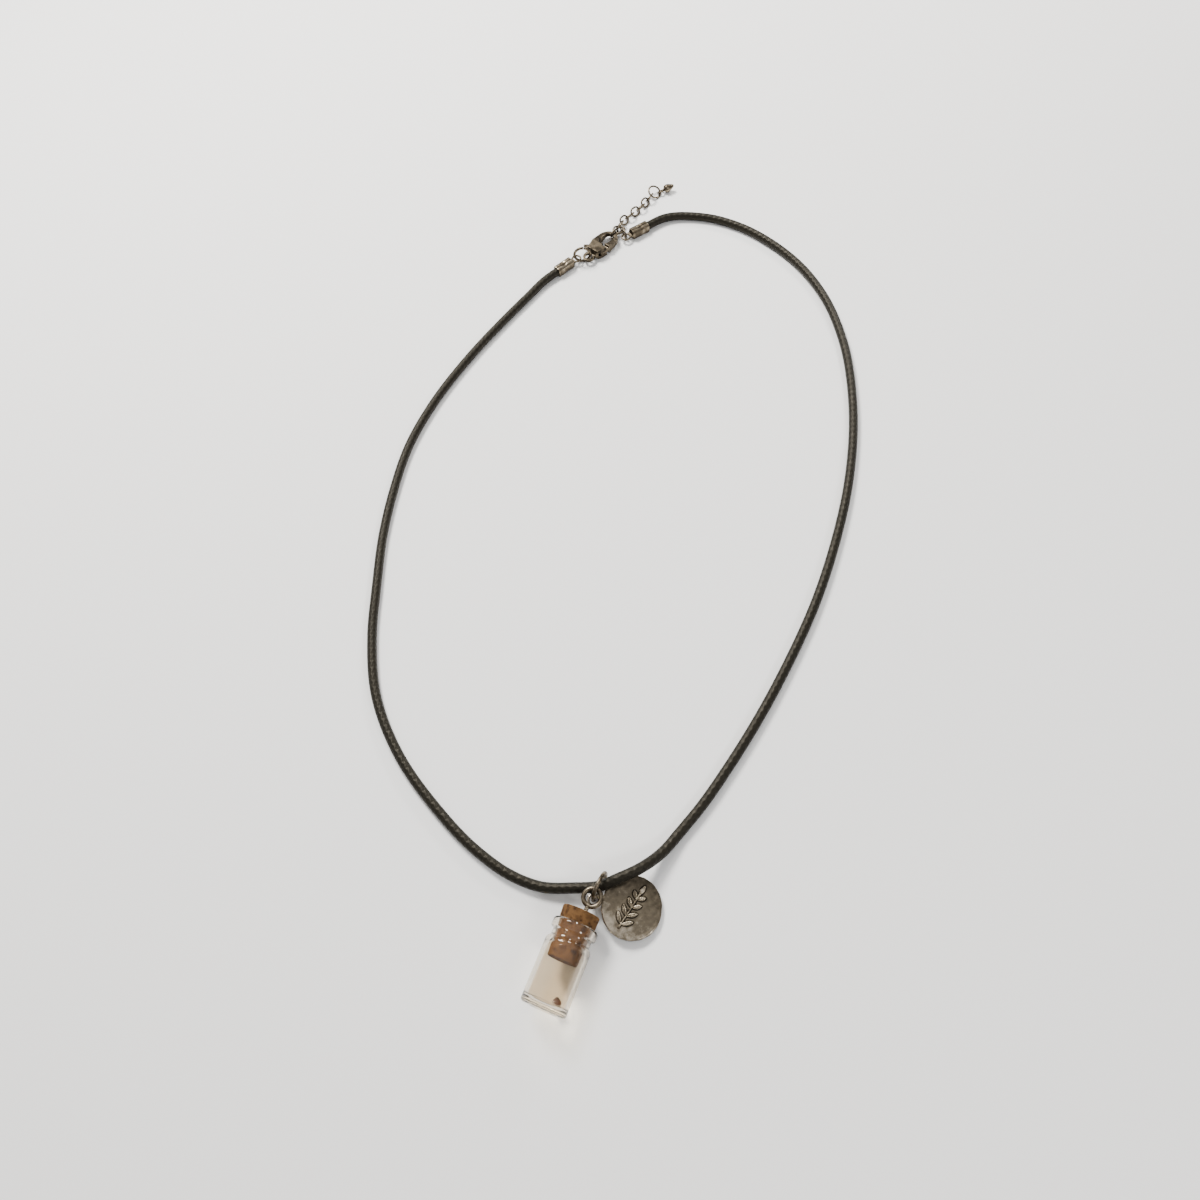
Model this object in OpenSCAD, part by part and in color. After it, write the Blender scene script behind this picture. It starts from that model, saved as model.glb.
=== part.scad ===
// Bottle pendant necklace, lying on a surface. Millimetres, Z up, the surface is z = 0.
// Table coordinates start under the centre of the bottle's base, Y along the bottle to its cork.
// One module per separate piece; at() moves table coordinates into the part's own frame.

/* [Cord] */
// Diameter of the waxed cord
cord_d = 2.4; // [1.5:0.1:3]
// Length of cord held inside each folded cord end
cord_grip = 5.5; // [3:0.5:6]
// Straight run that one ring of the swept cord stands for
cord_step = 6.6; // [4:0.2:10]

/* [Bottle] */
// Outside diameter of the bottle's body
bottle_d = 10; // [8:0.5:14]
// Height of the glass from base to lip
bottle_h = 18; // [15:0.5:24]
// Wall thickness of the glass
glass_wall = 0.9; // [0.6:0.1:1.2]
// Height of the rolled lip
lip_h = 2.3; // [1.5:0.1:3]
// Wall thickness of the neck, round the cork
neck_wall = 0.6; // [0.5:0.05:0.8]
// How far the rolled lip stands out from the neck
lip_out = 0.7; // [0.4:0.05:1]
// Distance from the table's zero line to the cork's top
cork_top_y = 21; // [20:0.1:22]

/* [Cork] */
// Diameter of the cork's top
cork_d = 8.3; // [7.5:0.1:9]
// Diameter of the cork inside the neck
cork_neck_d = 7.2; // [6.5:0.1:7.4]
// Diameter of the cork's lower end
cork_end_d = 6.6; // [6:0.1:7]
// Length of cork above the lip
cork_out = 2.8; // [2:0.1:4]
// Length of cork below the lip
cork_in = 7.9; // [6:0.1:9]

/* [Rings] */
// Outside diameter of the jump ring on the cord
pendant_ring_d = 7.0; // [6:0.1:8]
// Wire of the jump ring on the cord
pendant_ring_wire = 0.9; // [0.7:0.1:1.1]
// Outside diameter of the screw eye
eye_d = 4.8; // [4:0.1:6]
// Wire of the screw eye
eye_wire = 1.0; // [0.8:0.1:1.2]
// Outside diameter of the jump ring on the clasp
clasp_ring_d = 5.6; // [5:0.1:6]
// Wire of the jump ring on the clasp
clasp_ring_wire = 0.8; // [0.6:0.1:1]

/* [Charm] */
// Width of the charm across its eye
charm_w = 12.9; // [12:0.1:14]
// Length of the charm, along the worn word's place
charm_l = 13.6; // [12:0.1:15]
// Thickness of the charm's plate
charm_t = 1.3; // [1:0.1:2]
// Height of the raised leaf sprig
relief_h = 0.35; // [0.2:0.05:0.6]

/* [Clasp and chain] */
// Thickness of the clasp at its lever
clasp_t = 3.0; // [2.5:0.1:3.5]
// Thickness of the clasp at its hook
hook_t = 1.1; // [1:0.1:1.6]
// Wire of the extender links
link_wire = 0.55; // [0.5:0.05:0.7]
// Outside length of an extender link
link_l = 3.6; // [3.4:0.1:4]
// Outside width of an extender link
link_w = 2.9; // [2.8:0.1:3.2]
// Diameter of the end ring that carries the small drop
end_ring_d = 4.4; // [4:0.1:5]

/* [Hidden] */
$fn = 48;
// Middle of the part without its cord, in table coordinates
mid = [-33.14, 118.38];
function at(p) = [p[0] - mid[0], p[1] - mid[1], p[2]];

// Cord ends: mouth, direction from the mouth to the eye, height of the axis
end_len = 7.7;
end_z = 1.45;
left_mouth = [-80.5, 191.6];
left_turn = 62;
right_mouth = [-61.2, 217.55];
right_turn = 233.5;
function along(p, a, s, z) = [p[0] + s * cos(a), p[1] + s * sin(a), z];
left_eye = along(left_mouth, left_turn, end_len, end_z);
right_eye = along(right_mouth, right_turn, end_len, end_z);

// The cord's route, from the left cord end round the pendant to the right one
route = [
  along(left_mouth, left_turn, cord_grip, end_z),
  along(left_mouth, left_turn, 0, end_z),
  along(left_mouth, left_turn, -3.5, 1.4),
  [-85.2, 179.0, 1.2], [-88.0, 169.0, 1.2], [-92.0, 151.5, 1.2], [-94.2, 134.0, 1.2],
  [-94.0, 119.5, 1.2], [-91.2, 105.0, 1.2], [-87.1, 91.0, 1.2], [-81.6, 77.3, 1.2],
  [-75.5, 63.5, 1.2], [-67.0, 50.0, 1.2], [-55.2, 39.0, 1.2], [-41.4, 30.8, 1.2],
  [-26.4, 24.6, 1.2], [-18.5, 22.9, 1.2], [-11.0, 23.0, 1.3], [-4.2, 25.2, 2.1],
  [1.3, 27.5, 3.4], [4.6, 30.2, 4.6], [8.0, 33.8, 4.35], [10.9, 38.9, 2.3],
  [13.0, 45.0, 1.2], [15.2, 51.5, 1.2], [18.2, 63.4, 1.2], [20.6, 75.4, 1.2],
  [22.9, 92.0, 1.2], [24.2, 109.0, 1.2], [24.0, 125.5, 1.2], [22.0, 146.0, 1.2],
  [16.1, 170.7, 1.2], [6.5, 193.0, 1.2], [-2.0, 205.4, 1.2], [-11.6, 214.6, 1.2],
  [-22.4, 221.2, 1.2], [-34.1, 225.4, 1.2], [-45.9, 226.2, 1.2],
  along(right_mouth, right_turn, -5.5, 1.3),
  along(right_mouth, right_turn, 0, end_z),
  along(right_mouth, right_turn, cord_grip, end_z)];

// Smooth curve through the route: chord-length tangents and cubic pieces
n_route = len(route);
function span(i) = norm(route[i + 1] - route[i]);
function slope(i) = (route[i + 1] - route[i]) / span(i);
function tangent(i) =
  i == 0 ? slope(0) :
  i == n_route - 1 ? slope(n_route - 2) :
  (slope(i) * span(i - 1) + slope(i - 1) * span(i)) / (span(i) + span(i - 1));
function cubic(i, t) =
  let (h = span(i), a = 2*t*t*t - 3*t*t + 1, b = t*t*t - 2*t*t + t, c = 3*t*t - 2*t*t*t, d = t*t*t - t*t)
  a * route[i] + b * h * tangent(i) + c * route[i + 1] + d * h * tangent(i + 1);
function steps(i) = max(1, round(span(i) / cord_step));
// The cord's middle never comes nearer to the surface than its radius
function lifted(p) = [p[0], p[1], max(p[2], cord_d / 2)];
curve = [for (i = [0 : n_route - 2]) for (k = [0 : steps(i) - 1]) lifted(cubic(i, k / steps(i))), route[n_route - 1]];
n_curve = len(curve);
function unit(v) = v / norm(v);
function heading(j) = unit(curve[min(j + 1, n_curve - 1)] - curve[max(j - 1, 0)]);
function ring(j, r) =
  let (t = heading(j), s = unit(cross([0, 0, 1], t)), u = cross(t, s))
  [for (k = [0 : 7]) at(curve[j]) + r * (cos(45 * k) * s + sin(45 * k) * u)];

// The bottle lies on its side
bottle_r = bottle_d / 2;
axis_z = bottle_r;
lip_y = cork_top_y - cork_out;
base_y = lip_y - bottle_h;
cork_end_y = lip_y - cork_in;
neck_bore_r = cork_neck_d / 2 + 0.05;
neck_d = 2 * (neck_bore_r + neck_wall);
lip_d = neck_d + 2 * lip_out;
function arc(c, r, a0, a1, n) = [for (k = [0 : n]) [c[0] + r * cos(a0 + (a1 - a0) * k / n), c[1] + r * sin(a0 + (a1 - a0) * k / n)]];
seed_pos = [1.9, base_y + 2.25];
seed_r = 1.1;

// Pendant ring: stands on the surface, its plane at 86 degrees from X
ring_turn = 86;
ring_pos = [1.2, 27.3, pendant_ring_d / 2];
eye_pos = [0.95, cork_top_y + 3.4, axis_z];
eye_mean = (eye_d - eye_wire) / 2;
eye_lean = 6;

// Charm: nearly flat, its eye side raised a little by the ring
charm_turn = 191;
charm_eye = [1.0, 24.45, 2.5];
charm_reach = 8.2;
charm_pitch = 7.2;
charm_r = charm_w / 2;
charm_bar = charm_l - charm_w;
sprig_turn = -113;

// Cord end: a folded sleeve with a flat eye
sleeve_l = 6.2;
sleeve_w = 2.9;
plate_eye_r = 1.55;
plate_hole_r = 0.97;
plate_t = 0.7;

// Clasp: its eye, and the way its hook points
clasp_eye = [-73.5, 200.15, clasp_t / 2];
clasp_turn = 71.5;
pivot = [3.8, 0];
pin_r = 0.55;
slot_t = 1.1;
lever_t = 0.95;
gate_r = 5.9;
ring_gap_z = clasp_ring_d / 2;
clasp_ring_turn = atan2(clasp_eye[1] - left_eye[1], clasp_eye[0] - left_eye[0]);
clasp_ring_pos = [(left_eye[0] + clasp_eye[0]) / 2, (left_eye[1] + clasp_eye[1]) / 2, ring_gap_z];

// Extender: a link reaches this far between the middles of its end wires, and has some play on the next
reach = link_l - link_wire;
link_play = 0.07;
pitch = reach - link_wire - link_play;
function link_z(roll) = 0.02 + link_wire / 2 + (link_w - link_wire) / 2 * abs(sin(roll));
// The clasp's hook lies in the third link, which also holds the second and the fourth
hook_pos = along(clasp_eye, clasp_turn, 10.35, 1.47);
stack_pos = along(clasp_eye, clasp_turn, 12.48, 0);
tail_start = along(stack_pos, 94, (reach + pitch) / 2, 0);
tail_turns = [86, 73, 63, 66, 71, 76, 79];
tail_rolls = [-50, 42, -46, 45, -45, 45, -57];
function joint(k) = k == 0 ? tail_start : along(joint(k - 1), tail_turns[k - 1], pitch, 0);
function tail_link(k) = let (m = along(joint(k), tail_turns[k], pitch / 2, 0))
  [m[0], m[1], link_z(tail_rolls[k]), tail_turns[k], tail_rolls[k]];
function flat_link(p, turn, z) = let (m = along(p, turn, reach / 2, z)) [m[0], m[1], z, turn, 0];
function tilted_link(p, turn, z, roll) = let (m = along(p, turn, reach / 2, z)) [m[0], m[1], z, turn, roll];
function upright_link(p, turn, z) = let (m = along(p, turn, reach / 2, z)) [m[0], m[1], z, turn, 90];
links = [
  upright_link(right_eye, 133, 1.5),
  flat_link(stack_pos, 44, 1.84),
  upright_link(hook_pos, clasp_turn, 1.47),
  tilted_link(stack_pos, 94, 1.12, 18),
  tail_link(0), tail_link(1), tail_link(2), tail_link(3), tail_link(4), tail_link(5), tail_link(6)];

// End ring and its small drop
end_mean = (end_ring_d - link_wire) / 2;
end_roll = 30;
end_turn = 77;
end_ring_pos = along(joint(7), end_turn, end_mean - 0.31, 0.02 + link_wire / 2 + end_mean * sin(end_roll));
drop_turn = 38;
drop_pos = along(end_ring_pos, drop_turn, end_mean + 0.05, 0.78);
drop_pitch = -14;

silver = [0.46, 0.43, 0.38];

/* [Nodes] */
// One piece by name, or all of them

// A round ring of wire in the XY plane, cut open by a thin slit as a bent ring is
module wire_ring(mean_r, wire, slit) {
  rotate([0, 0, slit / 2]) rotate_extrude(angle = 360 - slit, $fn = 48) translate([mean_r, 0]) circle(r = wire / 2, $fn = 16);
}

// An oval link in the XY plane, long along X
module oval_link() {
  bend = (link_w - link_wire) / 2;
  half = (link_l - link_w) / 2;
  for (side = [0, 1]) rotate([0, 0, 180 * side]) {
    translate([half, 0, 0]) rotate([0, 0, -90]) rotate_extrude(angle = 180, $fn = 24) translate([bend, 0]) circle(r = link_wire / 2, $fn = 16);
    translate([-half, bend, 0]) rotate([0, 90, 0]) cylinder(h = 2 * half, r = link_wire / 2, $fn = 16);
  }
}

module place_link(l) {
  color(silver) translate(at(l)) rotate([0, 0, l[3]]) rotate([l[4], 0, 0]) oval_link();
}

module cord() {
  color([0.06, 0.06, 0.05])
  polyhedron(
    points = [for (j = [0 : n_curve - 1]) for (p = ring(j, cord_d / 2)) p],
    faces = concat(
      [[for (k = [0 : 7]) k]],
      [for (j = [0 : n_curve - 2]) for (k = [0 : 7])
        [8*j + k, 8*(j + 1) + k, 8*(j + 1) + (k + 1) % 8, 8*j + (k + 1) % 8]],
      [[for (k = [7 : -1 : 0]) 8 * (n_curve - 1) + k]]));
}

// Folded sleeve: mouth at the origin, eye along +X
module cord_end() {
  w = sleeve_w / 2;
  difference() {
    union() {
      intersection() {
        translate([0, 0, -w]) linear_extrude(2 * w)
          polygon([[0, -w], [5.6, -w], [sleeve_l, -1.1], [sleeve_l, 1.1], [5.6, w], [0, w]]);
        rotate([90, 0, 90]) linear_extrude(sleeve_l)
          polygon([[-w, -w + 0.5], [-w + 0.5, -w], [w - 0.5, -w], [w, -w + 0.5], [w, w - 0.3], [w - 0.3, w], [-w + 0.3, w], [-w, w - 0.3]]);
      }
      translate([sleeve_l - 0.3, -1.1, -plate_t / 2]) cube([end_len - sleeve_l - 0.6, 2.2, plate_t]);
      translate([end_len, 0, -plate_t / 2]) cylinder(h = plate_t, r = plate_eye_r);
    }
    translate([end_len, 0, -1]) cylinder(h = 2, r = plate_hole_r);
    translate([-1, 0, 0]) rotate([0, 90, 0]) cylinder(h = 1 + cord_grip + 0.02, r = cord_d / 2 + 0.02);
    // The fold's seam along one side, and the round mark of the pliers
    translate([-1, w - 0.3, -0.12]) cube([6.2, 1, 0.24]);
    translate([2.8, 0, w + 0.75]) sphere(r = 1.0, $fn = 32);
  }
}
module cord_end_left() color(silver) translate(at(along(left_mouth, 0, 0, end_z))) rotate([0, 0, left_turn]) cord_end();
module cord_end_right() color(silver) translate(at(along(right_mouth, 0, 0, end_z))) rotate([0, 0, right_turn]) cord_end();

module clasp_ring() color(silver)
  translate(at(clasp_ring_pos)) rotate([0, 0, clasp_ring_turn]) rotate([90, 0, 0]) rotate([0, 0, 70])
  wire_ring((clasp_ring_d - clasp_ring_wire) / 2, clasp_ring_wire, 5);

// Clasp, eye at the origin and hook along +X
module clasp_outline() {
  circle(r = 1.85);
  polygon([[0.9, -1.3], [2.6, -2.3], [5.2, -2.95], [8.9, -3.1], [8.9, 3.1], [5.2, 2.95], [2.6, 2.3], [0.9, 1.3]]);
  translate([8.9, 0]) circle(r = 3.1);
}
module clasp_window() {
  translate([7.0, 0]) circle(r = 1.5);
  translate([7.0, -1.5]) square([2.4, 3.0]);
  translate([9.4, 0]) circle(r = 1.5);
}
module clasp_side() {
  t = clasp_t / 2;
  h = hook_t / 2;
  translate([0, 6, 0]) rotate([90, 0, 0]) linear_extrude(12)
    polygon([[-2, -0.4], [1.2, -0.4], [2.0, -t], [5.4, -t], [8.8, -0.8], [10.4, -h], [13, -h],
      [13, h], [10.4, h], [8.8, 0.8], [5.4, t], [2.0, t], [1.2, 0.4], [-2, 0.4]]);
}
module clasp_frame() translate(at(clasp_eye)) rotate([0, 0, clasp_turn]) children();
module clasp_body() color(silver) clasp_frame() {
  difference() {
    intersection() {
      translate([0, 0, -2]) linear_extrude(4) difference() {
        clasp_outline();
        circle(r = 1.1);
        clasp_window();
        // The mouth that the gate closes
        intersection() {
          translate(pivot) circle(r = gate_r + 0.08, $fn = 96);
          translate([5.0, -5]) square([6, 4.1]);
        }
      }
      clasp_side();
    }
    translate([0, 0, -slot_t / 2]) linear_extrude(slot_t)
      polygon([[2.2, -5], [2.2, 0.3], [0.2, 3.0], [0.2, 5], [4.9, 5], [4.9, 1.3], [5.9, 0.2], [5.9, -5]]);
  }
  translate([pivot[0], pivot[1], -1.2]) cylinder(h = 2.4, r = pin_r);
}
module lever_reach() intersection() {
  clasp_outline();
  translate(pivot) circle(r = gate_r, $fn = 96);
}
module clasp_lever() color(silver) clasp_frame() difference() {
  union() {
    translate([0, 0, -lever_t / 2]) linear_extrude(lever_t) {
      translate(pivot) circle(r = 1.25);
      difference() {
        intersection() {
          lever_reach();
          polygon([[3.8, 0.2], [6.2, -0.95], [12, -0.95], [12, -5], [3.0, -5], [2.9, -0.9]]);
        }
        clasp_window();
      }
      polygon([[2.95, 0.6], [2.35, 3.2], [2.2, 4.1], [2.9, 4.4], [3.6, 3.4], [4.4, 0.8]]);
    }
    intersection() {
      translate([0, 0, -2]) linear_extrude(4) difference() {
        intersection() {
          lever_reach();
          translate([6.0, -5]) square([6, 4.0]);
        }
        clasp_window();
      }
      clasp_side();
    }
  }
  translate([pivot[0], pivot[1], -2]) cylinder(h = 4, r = pin_r + 0.05);
}

module chain_link_01() place_link(links[0]);
module chain_link_02() place_link(links[1]);
module chain_link_03() place_link(links[2]);
module chain_link_04() place_link(links[3]);
module chain_link_05() place_link(links[4]);
module chain_link_06() place_link(links[5]);
module chain_link_07() place_link(links[6]);
module chain_link_08() place_link(links[7]);
module chain_link_09() place_link(links[8]);
module chain_link_10() place_link(links[9]);
module chain_link_11() place_link(links[10]);

module end_ring() color(silver)
  translate(at(end_ring_pos)) rotate([0, 0, end_turn]) rotate([end_roll, 0, 0]) rotate([0, 0, 110])
  wire_ring(end_mean, link_wire, 5);

module chain_drop() color(silver)
  translate(at(drop_pos)) rotate([0, 0, drop_turn]) rotate([0, drop_pitch, 0]) {
    rotate([-30, 0, 0]) rotate_extrude($fn = 32) translate([0.95, 0]) circle(r = 0.25, $fn = 16);
    rotate([0, 90, 0]) rotate_extrude($fn = 32)
      polygon([[0, 0.8], [0.4, 0.8], [0.5, 1.2], [0.95, 1.4], [1.18, 1.8], [1.25, 2.2], [1.15, 2.7], [0.85, 3.4], [0.5, 4.1], [0.35, 4.35], [0, 4.5]]);
  }

module pendant_ring() color(silver)
  translate(at(ring_pos)) rotate([0, 0, ring_turn]) rotate([90, 0, 0]) rotate([0, 0, 60])
  wire_ring((pendant_ring_d - pendant_ring_wire) / 2, pendant_ring_wire, 4);

module eye_frame() translate(at(eye_pos)) rotate([0, 0, -eye_lean]) children();
module eye_shank() rotate([90, 0, 0]) {
  translate([0, 0, eye_mean]) cylinder(h = 5.7, r = eye_wire / 2, $fn = 24);
  translate([0, 0, eye_mean + 5.7]) cylinder(h = 1.3, r1 = eye_wire / 2, r2 = 0.1, $fn = 24);
}
module screw_eye() color(silver) eye_frame() {
  rotate_extrude($fn = 48) translate([eye_mean, 0]) circle(r = eye_wire / 2, $fn = 16);
  eye_shank();
}

module bottle_frame() translate(at([0, 0, axis_z])) rotate([-90, 0, 0]) children();
module cork() color([0.62, 0.42, 0.26]) difference() {
  bottle_frame() rotate_extrude($fn = 64) polygon([
    [0, cork_end_y], [cork_end_d / 2 - 0.15, cork_end_y], [cork_end_d / 2, cork_end_y + 0.15],
    [cork_neck_d / 2, lip_y - 4.0], [cork_neck_d / 2, lip_y - 1.8], [cork_neck_d / 2 + 0.4, lip_y],
    [cork_d / 2, cork_top_y - 0.15], [cork_d / 2 - 0.15, cork_top_y], [0, cork_top_y]]);
  eye_frame() eye_shank();
}
module bottle() color([0.85, 0.9, 0.88, 0.4]) bottle_frame() rotate_extrude($fn = 64) polygon(concat(
  [[0, base_y + 0.25], [2.6, base_y + 0.25], [3.2, base_y]],
  arc([bottle_r - 0.8, base_y + 0.8], 0.8, -90, 0, 5),
  arc([bottle_r - 1.4, lip_y - 5.0], 1.4, 0, 60, 5),
  [[neck_d / 2, lip_y - 3.4], [neck_d / 2, lip_y - lip_h]],
  arc([lip_d / 2 - 0.55, lip_y - lip_h + 0.55], 0.55, -80, 0, 4),
  arc([lip_d / 2 - 0.7, lip_y - 0.7], 0.7, 0, 90, 5),
  [[neck_bore_r + 0.42, lip_y], [neck_bore_r + 0.4, lip_y - 0.02], [neck_bore_r, lip_y - 1.8], [neck_bore_r, lip_y - 4.0],
   [neck_bore_r + 0.12, lip_y - 4.5], [bottle_r - glass_wall - 0.12, lip_y - 5.0], [bottle_r - glass_wall, lip_y - 5.5]],
  arc([bottle_r - glass_wall - 1.2, base_y + 1.0 + 1.2], 1.2, 0, -90, 5),
  [[0, base_y + 1.0]]));

module seed() color([0.72, 0.42, 0.18])
  translate(at([seed_pos[0], seed_pos[1], axis_z - sqrt(pow(bottle_r - glass_wall - seed_r - 0.06, 2) - pow(seed_pos[0], 2))])) {
    sphere(r = seed_r, $fn = 32);
    rotate([0, 0, 15]) translate([0, 0.75, 0]) sphere(r = 0.6, $fn = 24);
  }

// Charm: a slightly oval plate in the XY plane, its eye along +X, with a plain raised leaf sprig
module leaf(l, w) {
  r = (l * l / 4 + w * w / 4) / w;
  intersection() {
    translate([l / 2, r - w / 2]) circle(r = r, $fn = 40);
    translate([l / 2, w / 2 - r]) circle(r = r, $fn = 40);
  }
}
module sprig() {
  translate([-5.2, -0.2]) square([8.6, 0.4]);
  for (k = [0 : 3]) for (side = [-1, 1])
    translate([-4.3 + 2.05 * k, side * 0.1]) rotate([0, 0, side * 44]) leaf(2.9 - 0.25 * k, 1.15);
  translate([2.9, 0]) leaf(2.6, 1.15);
}
module charm_plate() {
  t = charm_t / 2;
  b = charm_bar / 2;
  edge = [[0, -t], [charm_r - 0.25, -t], [charm_r, -t + 0.25], [charm_r, t - 0.25], [charm_r - 0.25, t], [0, t]];
  for (side = [-1, 1]) translate([0, side * b, 0]) rotate_extrude($fn = 72) polygon(edge);
  for (side = [0, 1]) mirror([side, 0, 0]) translate([0, b, 0]) rotate([90, 0, 0]) linear_extrude(2 * b) polygon(edge);
}
module charm() color(silver)
  translate(at(charm_eye)) rotate([0, 0, charm_turn]) rotate([0, -charm_pitch, 0]) difference() {
    union() {
      translate([-charm_reach, 0, 0]) {
        charm_plate();
        translate([0, 0, charm_t / 2 - 0.05]) rotate([0, 0, sprig_turn]) linear_extrude(relief_h + 0.05) sprig();
      }
      translate([0, 0, -0.4]) cylinder(h = 0.8, r = 1.5);
      translate([-2.3, -1.0, -0.4]) cube([1.4, 2.0, 0.8]);
    }
    translate([0, 0, -2]) cylinder(h = 4, r = 0.9);
  }

cord();
cord_end_left();
cord_end_right();
clasp_ring();
clasp_body();
clasp_lever();
chain_link_01();
chain_link_02();
chain_link_03();
chain_link_04();
chain_link_05();
chain_link_06();
chain_link_07();
chain_link_08();
chain_link_09();
chain_link_10();
chain_link_11();
end_ring();
chain_drop();
pendant_ring();
screw_eye();
cork();
bottle();
seed();
charm();
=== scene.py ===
"""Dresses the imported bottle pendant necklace: cord, metal, glass, cork, surface, lights and camera.

Lengths are metres in the part's own frame: +Y runs along the bottle to its cork, +Z is up and the
necklace lies on z = 0. Sizes written in millimetres are multiplied by MM where they are used.
"""

import logging
from abc import ABC, abstractmethod
from dataclasses import dataclass
from enum import Enum

import bmesh
import bpy
import numpy as np
from mathutils import Matrix, Vector


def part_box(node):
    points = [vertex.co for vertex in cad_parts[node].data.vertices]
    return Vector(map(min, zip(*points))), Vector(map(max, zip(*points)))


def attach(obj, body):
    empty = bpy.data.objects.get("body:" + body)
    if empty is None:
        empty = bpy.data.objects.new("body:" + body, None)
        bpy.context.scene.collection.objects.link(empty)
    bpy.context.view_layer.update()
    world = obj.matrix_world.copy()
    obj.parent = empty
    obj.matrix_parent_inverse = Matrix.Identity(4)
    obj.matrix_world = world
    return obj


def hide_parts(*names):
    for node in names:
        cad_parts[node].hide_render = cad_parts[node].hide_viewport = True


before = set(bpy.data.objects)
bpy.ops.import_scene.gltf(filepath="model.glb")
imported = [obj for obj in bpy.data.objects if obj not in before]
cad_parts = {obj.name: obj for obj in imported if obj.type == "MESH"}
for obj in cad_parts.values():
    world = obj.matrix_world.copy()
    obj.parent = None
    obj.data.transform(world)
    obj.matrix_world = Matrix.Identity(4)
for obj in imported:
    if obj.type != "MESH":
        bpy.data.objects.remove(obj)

LOG = logging.getLogger("bottle_pendant")
MM = 0.001
# Middle of the part without its cord, in the table coordinates that the sizes below are given in
TABLE_MIDDLE = np.array([-33.14, 118.38, 0.0])
TURN = 2.0 * np.pi
UP = np.array([0.0, 0.0, 1.0])

Socket = bpy.types.NodeSocket
Value = float | tuple | Socket


class Body(Enum):
    """The rigid bodies that pieces ride on."""

    NECKLACE = "necklace"
    LEVER = "lever"
    BOTTLE = "bottle"


class Slot(Enum):
    """The record's material slots."""

    CORD = "cord"
    METAL = "metal"
    CORK = "cork"
    GLASS = "glass"
    SEED = "seed"


# Points, placing and surfaces


def on_table(points: np.ndarray) -> np.ndarray:
    """Moves table coordinates in millimetres into the part's frame in metres."""
    return (np.asarray(points, float) - TABLE_MIDDLE) * MM


def unit(vectors: np.ndarray) -> np.ndarray:
    """Scales the vectors on the last axis to length one."""
    vectors = np.asarray(vectors, float)
    return vectors / np.linalg.norm(vectors, axis=-1, keepdims=True)


def turned(axis: str, degrees: float) -> np.ndarray:
    """Gives the matrix that turns about X, Y or Z by the right-hand rule."""
    return np.array(Matrix.Rotation(np.radians(degrees), 3, axis))


def heading(degrees: float) -> np.ndarray:
    """Gives the level unit vector at an angle in degrees from +X towards +Y."""
    return np.array([np.cos(np.radians(degrees)), np.sin(np.radians(degrees)), 0.0])


def around(count: int) -> np.ndarray:
    """Gives so many evenly spread angles of one whole turn, from nought."""
    return TURN * np.arange(count) / count


def spun(radius: np.ndarray, angle: np.ndarray, height: np.ndarray) -> np.ndarray:
    """Gives the points at such distances, angles and heights about the Z axis."""
    radius, angle, height = np.broadcast_arrays(radius, angle, height)
    return np.stack([radius * np.cos(angle), radius * np.sin(angle), height], -1)


def eased(share: np.ndarray) -> np.ndarray:
    """Bends a rise from nought to one: three times its square, less twice its cube."""
    share = np.clip(share, 0, 1)
    return share * share * (3 - 2 * share)


def cubic(
    t: np.ndarray, start: np.ndarray, leaving: np.ndarray, end: np.ndarray, arriving: np.ndarray
) -> np.ndarray:
    """Gives the cubic from one point to another, with a set slope at each, at shares t."""
    curve = (2 * t**3 - 3 * t**2 + 1) * start + (t**3 - 2 * t**2 + t) * leaving
    return curve + (3 * t**2 - 2 * t**3) * end + (t**3 - t**2) * arriving


@dataclass
class Place:
    """A local frame set down in the part: an origin in metres and a turning matrix."""

    origin: np.ndarray
    matrix: np.ndarray

    def put(self, points: np.ndarray) -> np.ndarray:
        """Moves local points in millimetres to the part's frame in metres."""
        return self.origin + MM * np.asarray(points) @ self.matrix.T


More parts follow.
